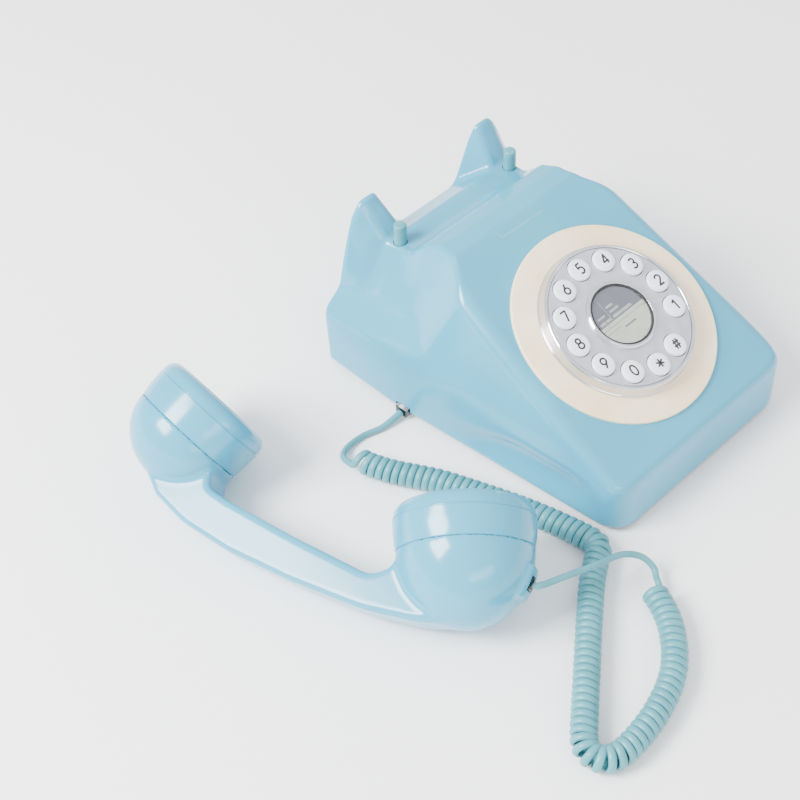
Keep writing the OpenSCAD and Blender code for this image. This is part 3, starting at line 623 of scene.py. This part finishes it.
def coil_wire(s):
    """Points of the wire through the coil, and the direction away from the coil's middle line."""
    ring, pitch = of(s, "ring"), of(s, "pitch")
    middle = spaced(smooth_route([(x, y, COIL_HEIGHT) for x, y in COIL]), 0.2)
    ahead = np.gradient(middle, axis=0)
    ahead /= np.linalg.norm(ahead, axis=1)[:, None]
    side = np.cross(ahead, (0, 0, 1))
    run = np.linspace(0, len(middle) * 0.2, len(middle))
    ramp = np.clip(np.minimum(run, run[-1] - run) / 5, 0.02, 1)
    turn = np.cumsum(ramp)
    turn = (turn - turn[0]) / (turn[-1] - turn[0]) * math.tau * round(run[-1] / pitch)
    away = side * np.cos(turn)[:, None] + np.array((0, 0, 1)) * np.sin(turn)[:, None]
    return middle + away * ring, away


def sideways(path):
    """Level unit directions across a path."""
    across = np.cross(np.gradient(path, axis=0), (0, 0, 1))
    return across / np.linalg.norm(across, axis=1)[:, None]


def build_cord(s, h):
    """One curly cord from the base to the handset."""
    wire = of(s, "wire")
    places = handset_places(h)
    coil, away = coil_wire(s)
    entry = smooth_route(LEAD_FROM_BASE + [tuple(coil[0])])
    plug = socket_spot(h)
    last = [tuple(places["handset"].out((plug[0] - 2.8, 0, plug[2]))),
            tuple(places["handset"].out((plug[0] - 1.3, 0, plug[2])))]
    leave = smooth_route([tuple(coil[-1])] + LEAD_TO_HANDSET + last)
    line = np.concatenate((entry[:-1], coil, leave[1:]))
    out = np.concatenate((sideways(entry)[:-1], away, sideways(leave)[1:]))
    share = np.concatenate((np.zeros(len(entry) - 1), np.ones(len(coil)), np.zeros(len(leave) - 1)))
    every = spaced(line, of(s, "spacing"))
    run_line = np.concatenate(([0], np.cumsum(np.linalg.norm(np.diff(line, axis=0), axis=1))))
    at = np.linspace(0, run_line[-1], len(every))
    out = np.array([np.interp(at, run_line, out[:, k]) for k in range(3)]).T
    coiled = np.interp(at, run_line, share)
    coiled = np.convolve(np.pad(coiled, 6, mode="edge"), np.ones(13) / 13, "valid")
    sleeve = np.clip(1 - at / SLEEVE_LENGTH, 0, 1) * SLEEVE_SWELL
    sections = []
    for share_here, extra in zip(coiled, sleeve):
        wide = wire / 2 + RIBBON_WIDER * share_here + extra
        thick = wire / 2 - RIBBON_THINNER * share_here + extra
        sections.append([(wide * math.cos(math.tau * j / CORD_SIDES), thick * math.sin(math.tau * j / CORD_SIDES))
                         for j in range(CORD_SIDES)])
    points, faces = sweep(every, out, sections)
    piece = add_piece("curly_cord", mesh_of("curly_cord", points, faces), [finishes()["cord"]])
    shade(piece.data, 80)
    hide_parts("lead_base", "cord_coil", "lead_handset")
    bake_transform(piece)


# ---------- base case ----------

# Side view of the base, as y, z and the corner's radius, with the two ears at the back.
CASE_SIDE = [(-100, 2, 1.2), (-98.7, 33, 7), (35, 95.5, 7), (46, 94.7, 6), (57, 89.8, 5), (67, 79.8, 4),
             (72, 77.5, 3.5), (84.5, 77.5, 4), (95.6, 91, 5), (99.6, 97, 2.6), (103.2, 96.7, 2.4),
             (104.4, 88, 8), (100.2, 2, 1.2)]
CASE_HALF_WIDTH = 82
PLAN_BACK, PLAN_WAIST = 104.6, 44


def case_plan(front_corner):
    """Plan outline of the base, as x and y."""
    half = [(68, -100.2, front_corner), (CASE_HALF_WIDTH, PLAN_WAIST, 20), (CASE_HALF_WIDTH, PLAN_BACK, 6)]
    return rounded(half + [(-x, y, r) for x, y, r in reversed(half)])


def case_distance(s):
    """Distance function of the outside of the case."""
    side = rounded(CASE_SIDE, 8)
    plan = case_plan(of(s, "front_corner"))
    top = side[(side[:, 1] >= 30) & (side[:, 0] > -98) & (side[:, 0] < 102)]
    top = top[np.argsort(top[:, 0])]

    def distance(x, y, z):
        wide = np.abs(x)
        # Shallow hollow low on the side wall, from the front corner back to the cord's opening.
        along = np.clip((y + 92) / 30, 0, 1) * np.clip((38 - y - 1.6 * z) / 34, 0, 1)
        scoop = of(s, "scoop") * np.sin(np.pi * np.clip((z - 7) / 26, 0, 1)) * along * along * (3 - 2 * along)
        walls = outline_distance(plan, x, y) + scoop * np.clip((wide - 50) / 12, 0, 1)
        panel = (wide - 59.5 - 0.08635 * (y - 18.55) + 0.3646 * (z - 86.7)) / 1.068
        # The pocket beside each ear: ear face, sloping shelf and the back of the front pillar.
        brim = 46 + 0.019 * (y - 35)
        brim_z = np.interp(y, top[:, 0], top[:, 1])
        valley, valley_z = 61 + 0.12 * (y - 41.7), 56 - 0.136 * (y - 41.7)
        down = np.clip((brim_z - z) / (brim_z - valley_z), 0, 1.4)
        flare = np.interp(y, [45, 76, 90, 104], [1.25, 1.3, 0.8, 0.56])
        ear = (wide - brim - (valley - brim) * down ** flare) * 0.88
        shelf = (z - 56 - 0.7511 * (61 - wide) + 0.04587 * (y - 41.75)) / 1.25
        pillar = (387.5 * (y - 35.25) + 429.6 * (z - 95.7) + 765.7 * (wide - 46)) / 959.7
        beside = either(either(ear, shelf, 1.6), pillar, 2.5)
        # The gap between the two ears behind the cradle floor.
        fall = (z - 77.2 + 0.726 * (y - 83.5)) / 1.236
        inner = (35 - 0.3418 * (y - 83.5) + 0.5326 * (z - 77.2) - wide) / 1.18
        shape = both(panel, walls, of(s, "shoulder"))
        shape = both(shape, outline_distance(side, y, z), of(s, "edge"))
        shape = both(shape, beside, of(s, "ear_edge"))
        return both(shape, either(fall, inner, 4), of(s, "ear_edge"))

    return distance


PLUNGER_SPOT = (42.6, 78.3)
SOCKET_SPOT = (-24, 6.1)


def build_case(s):
    """Upper case: one moulded shell, hollow underneath, with its openings cut through."""
    m = finishes()
    distance = case_distance(s)
    points, faces = skin(distance, (-84, -103, -1), (84, 107, 100), of(s, "cell"))
    case = add_piece("case_shell", mesh_of("case_shell", points, faces), [m["body"]])
    recess = case_plan(of(s, "front_corner") - 3)
    middle = np.array((0, 2))
    recess = middle + (recess - middle) * np.array((1 - 3.1 / 82, 1 - 3.2 / 102))
    hole, steps = 3.95, 40
    cutters = [(*prism(recess, -5, 6.2), TABLE, None)]
    # The walls of the plunger holes, the gap between the ears, the socket opening and the cord opening take the
    # painted seam shade.
    for side in (-1, 1):
        tube = lathe([(0, 50), (hole, 50), (hole, 84), (0, 84)], steps)
        cutters.append((*tube, Place((side * PLUNGER_SPOT[0], PLUNGER_SPOT[1], 0), np.eye(3)), m["seam"]))
    cutters.append((*block((-50, 72.5, 50.5), (50, 84, 70)), TABLE, m["seam"]))
    x, z = SOCKET_SPOT
    cutters.append((*block((x - 8.3, 86, z - 1.3), (x + 8.3, 112, z + 14.3)), TABLE, m["seam"]))
    cutters.append((*block((-92, 35, -4), (-61, 45, 9)), TABLE, m["seam"]))
    carved(case, cutters)
    settle_on(case, "base", "body_plastic", "upper_case")

    # Fine raised step line across the crest, in front of the cradle, coloured with the painted seam shade.
    line = smooth_step_line([(-17.9, 34.6), (-16.3, 29.4), (13.4, 28.7)], distance)
    rib = [[(-0.22, -0.25), (0.22, -0.25), (0.22, 0.03), (-0.22, 0.03)]] * len(line)
    points, faces = sweep(line, np.tile((0.0, -0.4, 0.9), (len(line), 1)), rib)
    seam = add_piece("crest_step_painted_shade", mesh_of("crest_step_painted_shade", points, faces), [m["seam"]])
    settle_on(seam, "base", "body_plastic")


def smooth_step_line(corners, distance):
    """Points of a line over the crest, given by its corners in x and y and laid on the surface."""
    route = spaced(np.array([(x, y, 93.0) for x, y in corners], float), 0.8)
    for _ in range(30):
        route[:, 2] -= distance(*route.T)
    return route


# ---------- dial ----------


def build_dial(s):
    """Cream disc, chrome ring, faceplate, and the label under its lens."""
    m = finishes()
    disc = rounded([(40.3, 0, 0), (57, 0, 0), (57, 1.8, 0.8), (40.3, 1.8, 0)])
    ring = rounded([(39.1, -6, 0), (40.1, -6, 0), (40.1, 1.8, 0), (43.3, 1.8, 0), (43.3, 3, 0.5),
                    (42.7, 3.4, 0.4), (41.4, 8.1, 0.8), (40.9, 8.6, 0.3), (40.1, 8.6, 0.3), (39.6, 8.15, 0.2),
                    (39.6, 6.2, 0), (39.1, 6.2, 0)], 4)
    bezel = rounded([(17.4, 8.2, 0), (19.3, 8.2, 0), (19.2, 9.6, 0.6), (18.3, 10.6, 0.6), (17.4, 10.4, 0.3)], 5)
    gasket = rounded([(16.35, 8.2, 0), (17.35, 8.2, 0), (17.35, 10.15, 0.3), (16.35, 10.0, 0.3)], 3)
    lens = [(0, 8.82), (16.2, 8.82), (16.2, 9.6), (15.9, 9.75)] + \
        [(16 * math.cos(a), 9.75 + 0.7 * math.sin(a)) for a in np.radians(range(15, 91, 15))]
    lens[-1] = (0, 10.45)
    rows = [("cream_disc", disc, 128, True, "cream", "cream_plastic", "dial_surround"),
            ("chrome_ring", ring, 128, True, "chrome", "chrome", "dial_ring"),
            ("label_ring", bezel, 96, True, "chrome", "chrome", "label_bezel"),
            ("label_gasket_ring", gasket, 96, True, "rubber", "black_rubber", "label_gasket"),
            ("label_window", lens, 96, False, "clear", "clear_plastic", "label_lens")]
    for name, profile, steps, loop, material, slot, node in rows:
        points, faces = lathe(profile, steps, loop)
        made = add_piece(name, mesh_of(name, points, faces, FACE), [m[material]])
        settle_on(made, "base", slot, node)
    build_label(m)
    # Faceplate with a round hole for each key, a little wider than the key so that its edge reads dark; the walls
    # of the holes are coloured dark rubber as painted shade.
    plate = rounded([(17, 6.3, 0), (39.35, 6.3, 0), (39.35, 8.2, 0.3), (17, 8.2, 0)], 3)
    points, faces = lathe(plate, 128, True)
    made = add_piece("dial_plate", mesh_of("dial_plate", points, faces, FACE), [m["satin"]])
    holes = []
    for i in range(12):
        turn = s.first + s.step * i
        spot = FACE.out((of(s, "key_circle") * math.cos(turn), of(s, "key_circle") * math.sin(turn), 0))
        hole = lathe([(0, 5), (of(s, "key_radius") + 0.5, 5), (of(s, "key_radius") + 0.5, 9.5), (0, 9.5)], 48)
        # The hole's walls are painted shade in the dark rubber finish.
        holes.append((*hole, Place(spot, FACE.turn), m["rubber"]))
    carved(made, holes)
    settle_on(made, "base", "satin_metal", "dial_faceplate")
    finish_node("key_membrane", m["rubber"])
    finish_node("key_board", m["board"])
    finish_node("dial_back_plate", m["black"], 0.4)
    finish_node("dial_screws", m["steel"], 0.2)


def half_disc(radius, start, steps=48):
    """Outline of half a disc, starting at an angle in degrees."""
    turn = np.radians(start + np.linspace(0, 180, steps))
    return np.array([np.cos(turn), np.sin(turn)]).T * radius


# Generic printed strips on the label as x, y, width and height; the first ones lie on the grey half.
LABEL_STRIPS = [(-14.2, 0.9, 3.6, 1.5), (-9.9, 0.9, 3.4, 1.5), (-4.6, 0.9, 13.6, 1.5), (-4.6, 4.1, 6.4, 1.2),
                (-4.6, 7.0, 4.6, 1.2), (-6.2, 0.2, 0.25, 12.5), (-13.4, 4.3, 5.2, 1.1)]
LABEL_RULES = [(-15.6, -2.3, 31.2, 0.2), (-14.0, -4.6, 9.0, 0.18), (-10.5, -2.3, 0.2, 1.9),
               (-3.2, -6.6, 8.2, 0.9)]


def build_label(m):
    """Label card: grey upper half, pale lower half and plain printed strips without lettering."""
    for name, start, material, nodes in (("label_upper", 0, "card_dark", ("label_card",)),
                                         ("label_lower", 180, "card_pale", ())):
        points, faces = prism(half_disc(16.2, start), 8.2, 8.6)
        made = add_piece(name, mesh_of(name, points, faces, FACE), [m[material]])
        settle_on(made, "base", "card", *nodes)
    for name, strips, material in (("label_strips", LABEL_STRIPS, "card_mark"),
                                   ("label_rules", LABEL_RULES, "card_dark")):
        points, faces = [], []
        for x, y, wide, high in strips:
            p, f = block((x, y, 8.5), (x + wide, y + high, 8.64))
            faces += [[len(points) + i for i in face] for face in f]
            points += p.tolist()
        made = add_piece(name, mesh_of(name, np.array(points), faces, FACE), [m[material]])
        settle_on(made, "base", "card")


# ---------- keys ----------

KEY_TOP, KEY_BROW = 10.4, 9.2


def key_height(r, radius):
    """Height of the domed key above the face at a distance r from its middle."""
    return KEY_BROW + (KEY_TOP - KEY_BROW) * np.sqrt(np.maximum(1 - (r / radius) ** 3.4, 0))


def bow(x, y, rx, ry, start, end, steps=18):
    """Points along part of an ellipse, angles in degrees."""
    turn = np.radians(np.linspace(start, end, steps))
    return [(x + rx * math.cos(t), y + ry * math.sin(t)) for t in turn]


# Strokes of each figure in a cell 0.62 wide and 1 high.
FIGURES = {
    "1": [[(0.10, 0.76), (0.38, 1.0), (0.38, 0.0)]],
    "2": [bow(0.31, 0.71, 0.28, 0.29, 170, -38) + [(0.03, 0.0), (0.61, 0.0)]],
    "3": [bow(0.29, 0.76, 0.24, 0.24, 150, -90) + bow(0.29, 0.26, 0.29, 0.26, 90, -150)],
    "4": [[(0.46, 0.0), (0.46, 1.0), (0.0, 0.28), (0.63, 0.28)]],
    "5": [[(0.55, 1.0), (0.13, 1.0), (0.08, 0.56)] + bow(0.29, 0.31, 0.29, 0.31, 125, -140)],
    "6": [[(0.46, 1.0), (0.07, 0.42)], bow(0.31, 0.30, 0.29, 0.30, 0, 360)],
    "7": [[(0.03, 1.0), (0.61, 1.0), (0.24, 0.0)]],
    "8": [bow(0.31, 0.76, 0.23, 0.24, 0, 360), bow(0.31, 0.27, 0.29, 0.27, 0, 360)],
    "9": [[(0.16, 0.0), (0.55, 0.58)], bow(0.31, 0.70, 0.29, 0.30, 0, 360)],
    "0": [bow(0.31, 0.5, 0.30, 0.5, 0, 360)],
    "star": [[(0.31 + 0.44 * math.cos(a), 0.5 + 0.44 * math.sin(a)),
              (0.31 - 0.44 * math.cos(a), 0.5 - 0.44 * math.sin(a))] for a in np.radians((90, 30, 150))],
    "hash": [[(0.10, 0.0), (0.24, 1.0)], [(0.38, 0.0), (0.52, 1.0)], [(-0.08, 0.33), (0.66, 0.33)],
             [(-0.04, 0.68), (0.70, 0.68)]],
}
KEY_ORDER = ["1", "2", "3", "4", "5", "6", "7", "8", "9", "0", "star", "hash"]


def build_keys(s):
    """Twelve domed keys with their figures, each key on its own body."""
    m = finishes()
    radius, high, stroke = of(s, "key_radius"), of(s, "figure"), of(s, "stroke")
    dome = [(radius * math.cos(a), key_height(radius * math.cos(a), radius)) for a in np.radians(range(0, 90, 6))]
    profile = [(0, 5.0), (radius, 5.0)] + dome + [(0, KEY_TOP)]
    for i, figure in enumerate(KEY_ORDER):
        turn = s.first + s.step * i
        spot = FACE.out((of(s, "key_circle") * math.cos(turn), of(s, "key_circle") * math.sin(turn), 0))
        place = Place(spot, FACE.turn)
        points, faces = lathe(profile, 64)
        made = add_piece("key_cap_" + figure, mesh_of("key_cap", points, faces, place), [m["key"]])
        settle_on(made, "key_" + figure, "key_plastic", "key_" + figure)
        points, faces = [], []
        for strokes in FIGURES[figure]:
            corners = [((x - 0.31) * high, (y - 0.5) * high, 0) for x, y in strokes]
            line = spaced(np.array(corners, float), 0.3)
            line[:, 2] = key_height(np.hypot(line[:, 0], line[:, 1]), radius)
            side = stroke / 2
            ring = [[(-side, -0.25), (side, -0.25), (side, 0.03), (-side, 0.03)]] * len(line)
            p, f = sweep(line, np.tile((0.0, 0.0, 1.0), (len(line), 1)), ring)
            faces += [[len(points) + i for i in face] for face in f]
            points += p.tolist()
        made = add_piece("figure_" + figure, mesh_of("figure", np.array(points), faces, place), [m["ink"]])
        settle_on(made, "key_" + figure, "black_plastic")


# ---------- hook ----------


def build_hook():
    """Two plungers with softly rounded tops, and the parts below them."""
    m = finishes()
    profile = rounded([(0, 64.5, 0), (3.6, 64.5, 0.3), (3.6, 80, 0), (3.45, 89.5, 1.1), (0, 89.5, 0)])
    profile[-1] = (0, 89.5)
    for name, side in (("left", -1), ("right", 1)):
        points, faces = lathe(profile, 48)
        place = Place((side * PLUNGER_SPOT[0], PLUNGER_SPOT[1], 0), np.eye(3))
        made = add_piece("hook_plunger_" + name, mesh_of("plunger", points, faces, place), [m["plunger"]])
        settle_on(made, "hook", "hook_plastic", "plunger_" + name)
    finish_node("hook_bar", m["black"], 0.4)
    finish_node("hook_springs", m["steel"])
    finish_node("hook_bracket", m["steel"], 0.3)
    finish_node("hook_switch", m["black"], 0.3)


# ---------- inside and under the base ----------


def build_floor_parts():
    """Carried-over parts under and inside the base, each with its own finish."""
    m = finishes()
    for name, material, edge in (
            ("base_plate", "black", 0.4), ("rubber_feet", "foot", 0.5), ("case_screws", "steel", 0.15),
            ("main_board", "board", 0), ("board_parts", "black", 0.3), ("ringer_frame", "black", 0.5),
            ("ringer_magnet", "steel", 0.4), ("ballast_plate", "iron", 0.4), ("line_socket", "ivory", 0.3),
            ("cord_socket", "black", 0.3), ("plug_base", "clear", 0.4), ("plug_handset", "clear", 0.4)):
        finish_node(name, m[material], edge)


# ---------- handset ----------

# How far each cup sits off the middle line of the handle, and how far it leans inwards, in degrees.
CUP_OFFSET, CUP_TILT = 6.3, 22.8
# Side view of the handle, as x, z and the corner's radius.
HANDLE = [(80, -10, 0), (88, -21, 0), (80, -29, 8), (60, -38, 40), (31, -44.2, 60), (-6, -47.8, 90),
          (-46, -49.2, 90), (-74, -46.2, 60), (-98, -38, 25), (-96, -16, 0), (-56, -17, 0), (-50, -27, 5),
          (-43, -32.6, 12), (2, -26.8, 60), (40, -20.6, 12), (53, -17.4, 5), (56.2, -7, 0), (62, -4, 0)]
COVER_ENDS = (-41, 39)


def handset_places(s):
    """Frames of the handset and of its two cups, the handset lying with its lowest bowl on the table."""
    turn = turned("Z", math.degrees(s.heading)) @ turned("Y", math.degrees(s.pitch)) \
        @ turned("X", math.degrees(s.roll))
    half = of(s, "span") / 2
    cups = {"ear": ((half, 0, CUP_OFFSET), -CUP_TILT, of(s, "ear_radius"), of(s, "ear_depth")),
            "mouth": ((-half, 0, -CUP_OFFSET), CUP_TILT, of(s, "mouth_radius"), of(s, "mouth_depth"))}
    heights = []
    for middle, tilt, radius, depth in cups.values():
        lean = (turn @ turned("Y", tilt))[2, 2]
        heights.append(math.sqrt(radius ** 2 * (1 - lean ** 2) + (depth * lean) ** 2) - (turn @ middle)[2])
    handset = Place((-165.8, 11.2, max(heights)), turn)
    places = {"handset": handset}
    for name, (middle, tilt, _, _) in cups.items():
        places[name] = Place(handset.out(middle), turn @ turned("Y", tilt))
        places[name + "_in"] = Place(middle, turned("Y", tilt))
    return places


def socket_spot(s):
    """Outer end of the cord socket in the handset's frame."""
    return np.array((-of(s, "span") / 2 - of(s, "mouth_radius") - 2.1, 0, -11))


def bowl_distance(x, y, z, radius, depth):
    """Distance to an egg-shaped bowl."""
    near = np.sqrt((x * x + y * y) / radius ** 2 + z * z / depth ** 2) + 1e-6
    steep = np.sqrt((x * x + y * y) / radius ** 4 + z * z / depth ** 4) + 1e-6
    return near * (near - 1) / steep


def shell_distance(s, places):
    """Distance function of the handset's shell, in the handset's own frame."""
    handle = rounded(HANDLE, 8)
    socket = socket_spot(s)
    ear_r, mouth_r = of(s, "ear_radius"), of(s, "mouth_radius")
    ear_d, mouth_d = of(s, "ear_depth"), of(s, "mouth_depth")

    def distance(x, y, z):
        at_ear, at_mouth = places["ear_in"].into(x, y, z), places["mouth_in"].into(x, y, z)
        bar = both(outline_distance(handle, x, z), np.abs(y) - of(s, "handle") / 2, of(s, "edge"))
        shape = either(bowl_distance(*at_ear, ear_r, ear_d), bowl_distance(*at_mouth, mouth_r, mouth_d))
        shape = either(shape, bar, 2.5)
        # Raised pad with chamfered sides round the cord socket.
        room = slab(x, y, z, socket - (4, 8.5, 8.5), socket + (16, 8.5, 8.5))
        pad = both(bowl_distance(*at_mouth, mouth_r + 2, mouth_d + 2), room, 1.2)
        shape = either(shape, pad, 1.0)
        for (lx, ly, lz), radius in ((at_ear, ear_r), (at_mouth, mouth_r)):
            above = np.maximum(np.maximum(-lz, np.hypot(lx, ly) - radius - 8), lz - 40)
            shape = both(shape, -above, 0.7)
        return shape

    return distance


def cover_outline():
    """Side view of the inner cover: flat underneath, and level with the handle's inner face above."""
    inner = np.array([p for p in rounded(HANDLE, 8) if -60 < p[0] < 60 and p[1] > -36
                      and p[1] > np.interp(p[0], (-60, 60), (-36, -22))])
    inner = inner[np.argsort(inner[:, 0])]
    xs = np.linspace(*COVER_ENDS, 24)
    under = [(COVER_ENDS[0], -35.6), (2, -29.8), (COVER_ENDS[1], -23.8)]
    return xs, np.interp(xs, inner[:, 0], inner[:, 1]), under


def cap_profile(radius, high):
    """Profile of a screw-on cap: barrelled wall, fine groove, fat rounded rim and dished middle."""
    wall = [(radius - 0.5, 0.06), (radius, 0.5), (radius + 0.8, 5), (radius + 1.2, 10),
            (radius + 1.3, high - 8.7), (radius + 0.85, high - 8.3), (radius + 0.85, high - 7.9),
            (radius + 1.2, high - 7.5)]
    rim = smooth_route([(r, z, 0) for r, z in (
        (radius + 1.2, high - 7.5), (radius + 0.8, high - 4.6), (radius - 0.4, high - 2.4),
        (radius - 2.2, high - 0.8), (radius - 4, high - 0.1), (radius - 5.4, high - 0.2),
        (radius - 6.8, high - 0.9), (radius - 8.4, high - 1.5), (radius * 0.4, high - 2.3))], 4)
    return [(0, 0.06)] + wall + [(r, z) for r, z, _ in rim[1:]] + [(7.5, high - 2.45), (0, high - 2.5)]


def build_handset(s):
    """Shell with its inner cover, two screw-on caps with six holes each, and the parts inside."""
    m = finishes()
    places = handset_places(s)
    handset = places["handset"]
    low, high = (-122, -38, -54), (120, 38, 22)
    points, faces = skin(shell_distance(s, places), low, high, of(s, "cell"))
    shell = add_piece("handset_body", mesh_of("handset_body", points, faces, handset), [m["body"]])
    xs, tops, under = cover_outline()
    seat = np.array([(xs[0], tops[0] + 9)] + under + [(xs[-1], tops[-1] + 9)])
    socket = socket_spot(s)
    # The walls of the cover's seat and of the socket opening take the painted seam shade.
    carved(shell, [
        (*prism(seat, -9, 9, "xz"), handset, m["seam"]),
        (*block(socket + (-8, -4.3, -3.8), socket + (12.2, 4.3, 3.8)), handset, m["seam"])])
    settle_on(shell, "handset", "body_plastic", "handset_shell")

    gap = 0.22
    face = [(x, z) for x, z in zip(xs, tops)]
    face[0], face[-1] = (xs[0] + gap, tops[0]), (xs[-1] - gap, tops[-1])
    strip = np.array(face[::-1] + [(under[0][0] + gap, under[0][1] + gap), (under[1][0], under[1][1] + gap),
                                   (under[2][0] - gap, under[2][1] + gap)])
    points, faces = prism(strip, -9 + gap, 9 - gap, "xz")
    cover = add_piece("handset_inner_cover", mesh_of("cover", points, faces, handset), [m["body"]])
    hole = lathe([(0, -40), (1.3, -40), (1.3, -23.4), (3.1, -23.4), (3.1, -10), (0, -10)], 32)
    # The walls of the screw hole take the painted seam shade.
    carved(cover, [(*hole, Place(handset.out((31, 0, 0)), handset.turn), m["seam"])])
    settle_on(cover, "handset", "body_plastic", "handset_cover")

    for name, radius, tall in (("ear", of(s, "ear_radius"), of(s, "cap")),
                               ("mouth", of(s, "mouth_radius"), of(s, "cap") - 1)):
        points, faces = lathe(cap_profile(radius, tall), 96)
        place = places[name]
        cap = add_piece(name + "_screw_cap", mesh_of(name + "_cap", points, faces, place), [m["body"]])
        # Six holes whose walls and floors are painted near black as painted shade.
        drills = []
        for k in range(6):
            spot = (4.2 * math.cos(math.tau * k / 6), 4.2 * math.sin(math.tau * k / 6), 0)
            drill = lathe([(0, tall - 5.5), (0.95, tall - 5.5), (0.95, tall + 1), (0, tall + 1)], 20)
            drills.append((*drill, Place(place.out(spot), place.turn), m["ink"]))
        carved(cap, drills)
        settle_on(cap, "handset", "body_plastic", name + "_cap")
    for node, material, edge in (("cover_screw", "steel", 0.15), ("ear_receiver", "satin", 0.4),
                                 ("microphone", "black", 0.4), ("handset_weight", "iron", 0.4),
                                 ("handset_socket", "black", 0.3)):
        finish_node(node, m[material], edge)


# ---------- operators, panel and the run ----------


class TELEPHONE_OT_studio(Operator):
    """Camera, soft lights and a pale floor"""
    bl_idname = "telephone.studio"
    bl_label = "Studio"

    def execute(self, context):
        build_studio(context.scene.telephone_studio)
        return {"FINISHED"}


class TELEPHONE_OT_cord(Operator):
    """Curly cord from the base to the handset"""
    bl_idname = "telephone.cord"
    bl_label = "Curly cord"

    def execute(self, context):
        build_cord(context.scene.telephone_cord, context.scene.telephone_handset)
        return {"FINISHED"}


class TELEPHONE_OT_case(Operator):
    """Moulded case of the base with its two ears"""
    bl_idname = "telephone.case"
    bl_label = "Case"

    def execute(self, context):
        build_case(context.scene.telephone_case)
        return {"FINISHED"}


class TELEPHONE_OT_dial(Operator):
    """Cream disc, chrome ring, faceplate and label"""
    bl_idname = "telephone.dial"
    bl_label = "Dial"

    def execute(self, context):
        build_dial(context.scene.telephone_dial)
        return {"FINISHED"}


class TELEPHONE_OT_keys(Operator):
    """Twelve keys with their figures"""
    bl_idname = "telephone.keys"
    bl_label = "Keys"

    def execute(self, context):
        build_keys(context.scene.telephone_dial)
        return {"FINISHED"}


class TELEPHONE_OT_hook(Operator):
    """Hook plungers and their parts"""
    bl_idname = "telephone.hook"
    bl_label = "Cradle hook"

    def execute(self, context):
        build_hook()
        return {"FINISHED"}


class TELEPHONE_OT_floor(Operator):
    """Base plate, feet, screws, sockets and boards"""
    bl_idname = "telephone.floor"
    bl_label = "Floor and inside"

    def execute(self, context):
        build_floor_parts()
        return {"FINISHED"}


class TELEPHONE_OT_handset(Operator):
    """Handset with its cover, caps and inner parts"""
    bl_idname = "telephone.handset"
    bl_label = "Handset"

    def execute(self, context):
        build_handset(context.scene.telephone_handset)
        return {"FINISHED"}


STEPS = (TELEPHONE_OT_studio, TELEPHONE_OT_cord, TELEPHONE_OT_case, TELEPHONE_OT_floor,
         TELEPHONE_OT_dial, TELEPHONE_OT_keys, TELEPHONE_OT_hook, TELEPHONE_OT_handset)
GROUPS = {"telephone_case": TelephoneCase, "telephone_dial": TelephoneDial,
          "telephone_handset": TelephoneHandset, "telephone_cord": TelephoneCord,
          "telephone_colours": TelephoneColours, "telephone_studio": TelephoneStudio}


class TELEPHONE_PT_panel(Panel):
    """Lists the steps that build the telephone"""
    bl_idname = "TELEPHONE_PT_panel"
    bl_label = "Telephone"
    bl_space_type = "VIEW_3D"
    bl_region_type = "UI"
    bl_category = "Telephone"

    def draw(self, context):
        for step in STEPS:
            self.layout.operator(step.bl_idname)


def register():
    """Registers the settings, the steps and the panel."""
    for name, group in GROUPS.items():
        bpy.utils.register_class(group)
        setattr(bpy.types.Scene, name, PointerProperty(type=group))
    for step in STEPS + (TELEPHONE_PT_panel,):
        bpy.utils.register_class(step)


def unregister():
    """Takes back what register added."""
    for step in reversed(STEPS + (TELEPHONE_PT_panel,)):
        bpy.utils.unregister_class(step)
    for name, group in reversed(GROUPS.items()):
        delattr(bpy.types.Scene, name)
        bpy.utils.unregister_class(group)


def main():
    """Builds the telephone and its stage."""
    register()
    for step in STEPS:
        group, name = step.bl_idname.split(".")
        getattr(getattr(bpy.ops, group), name)()


if __name__ == "__main__":
    main()
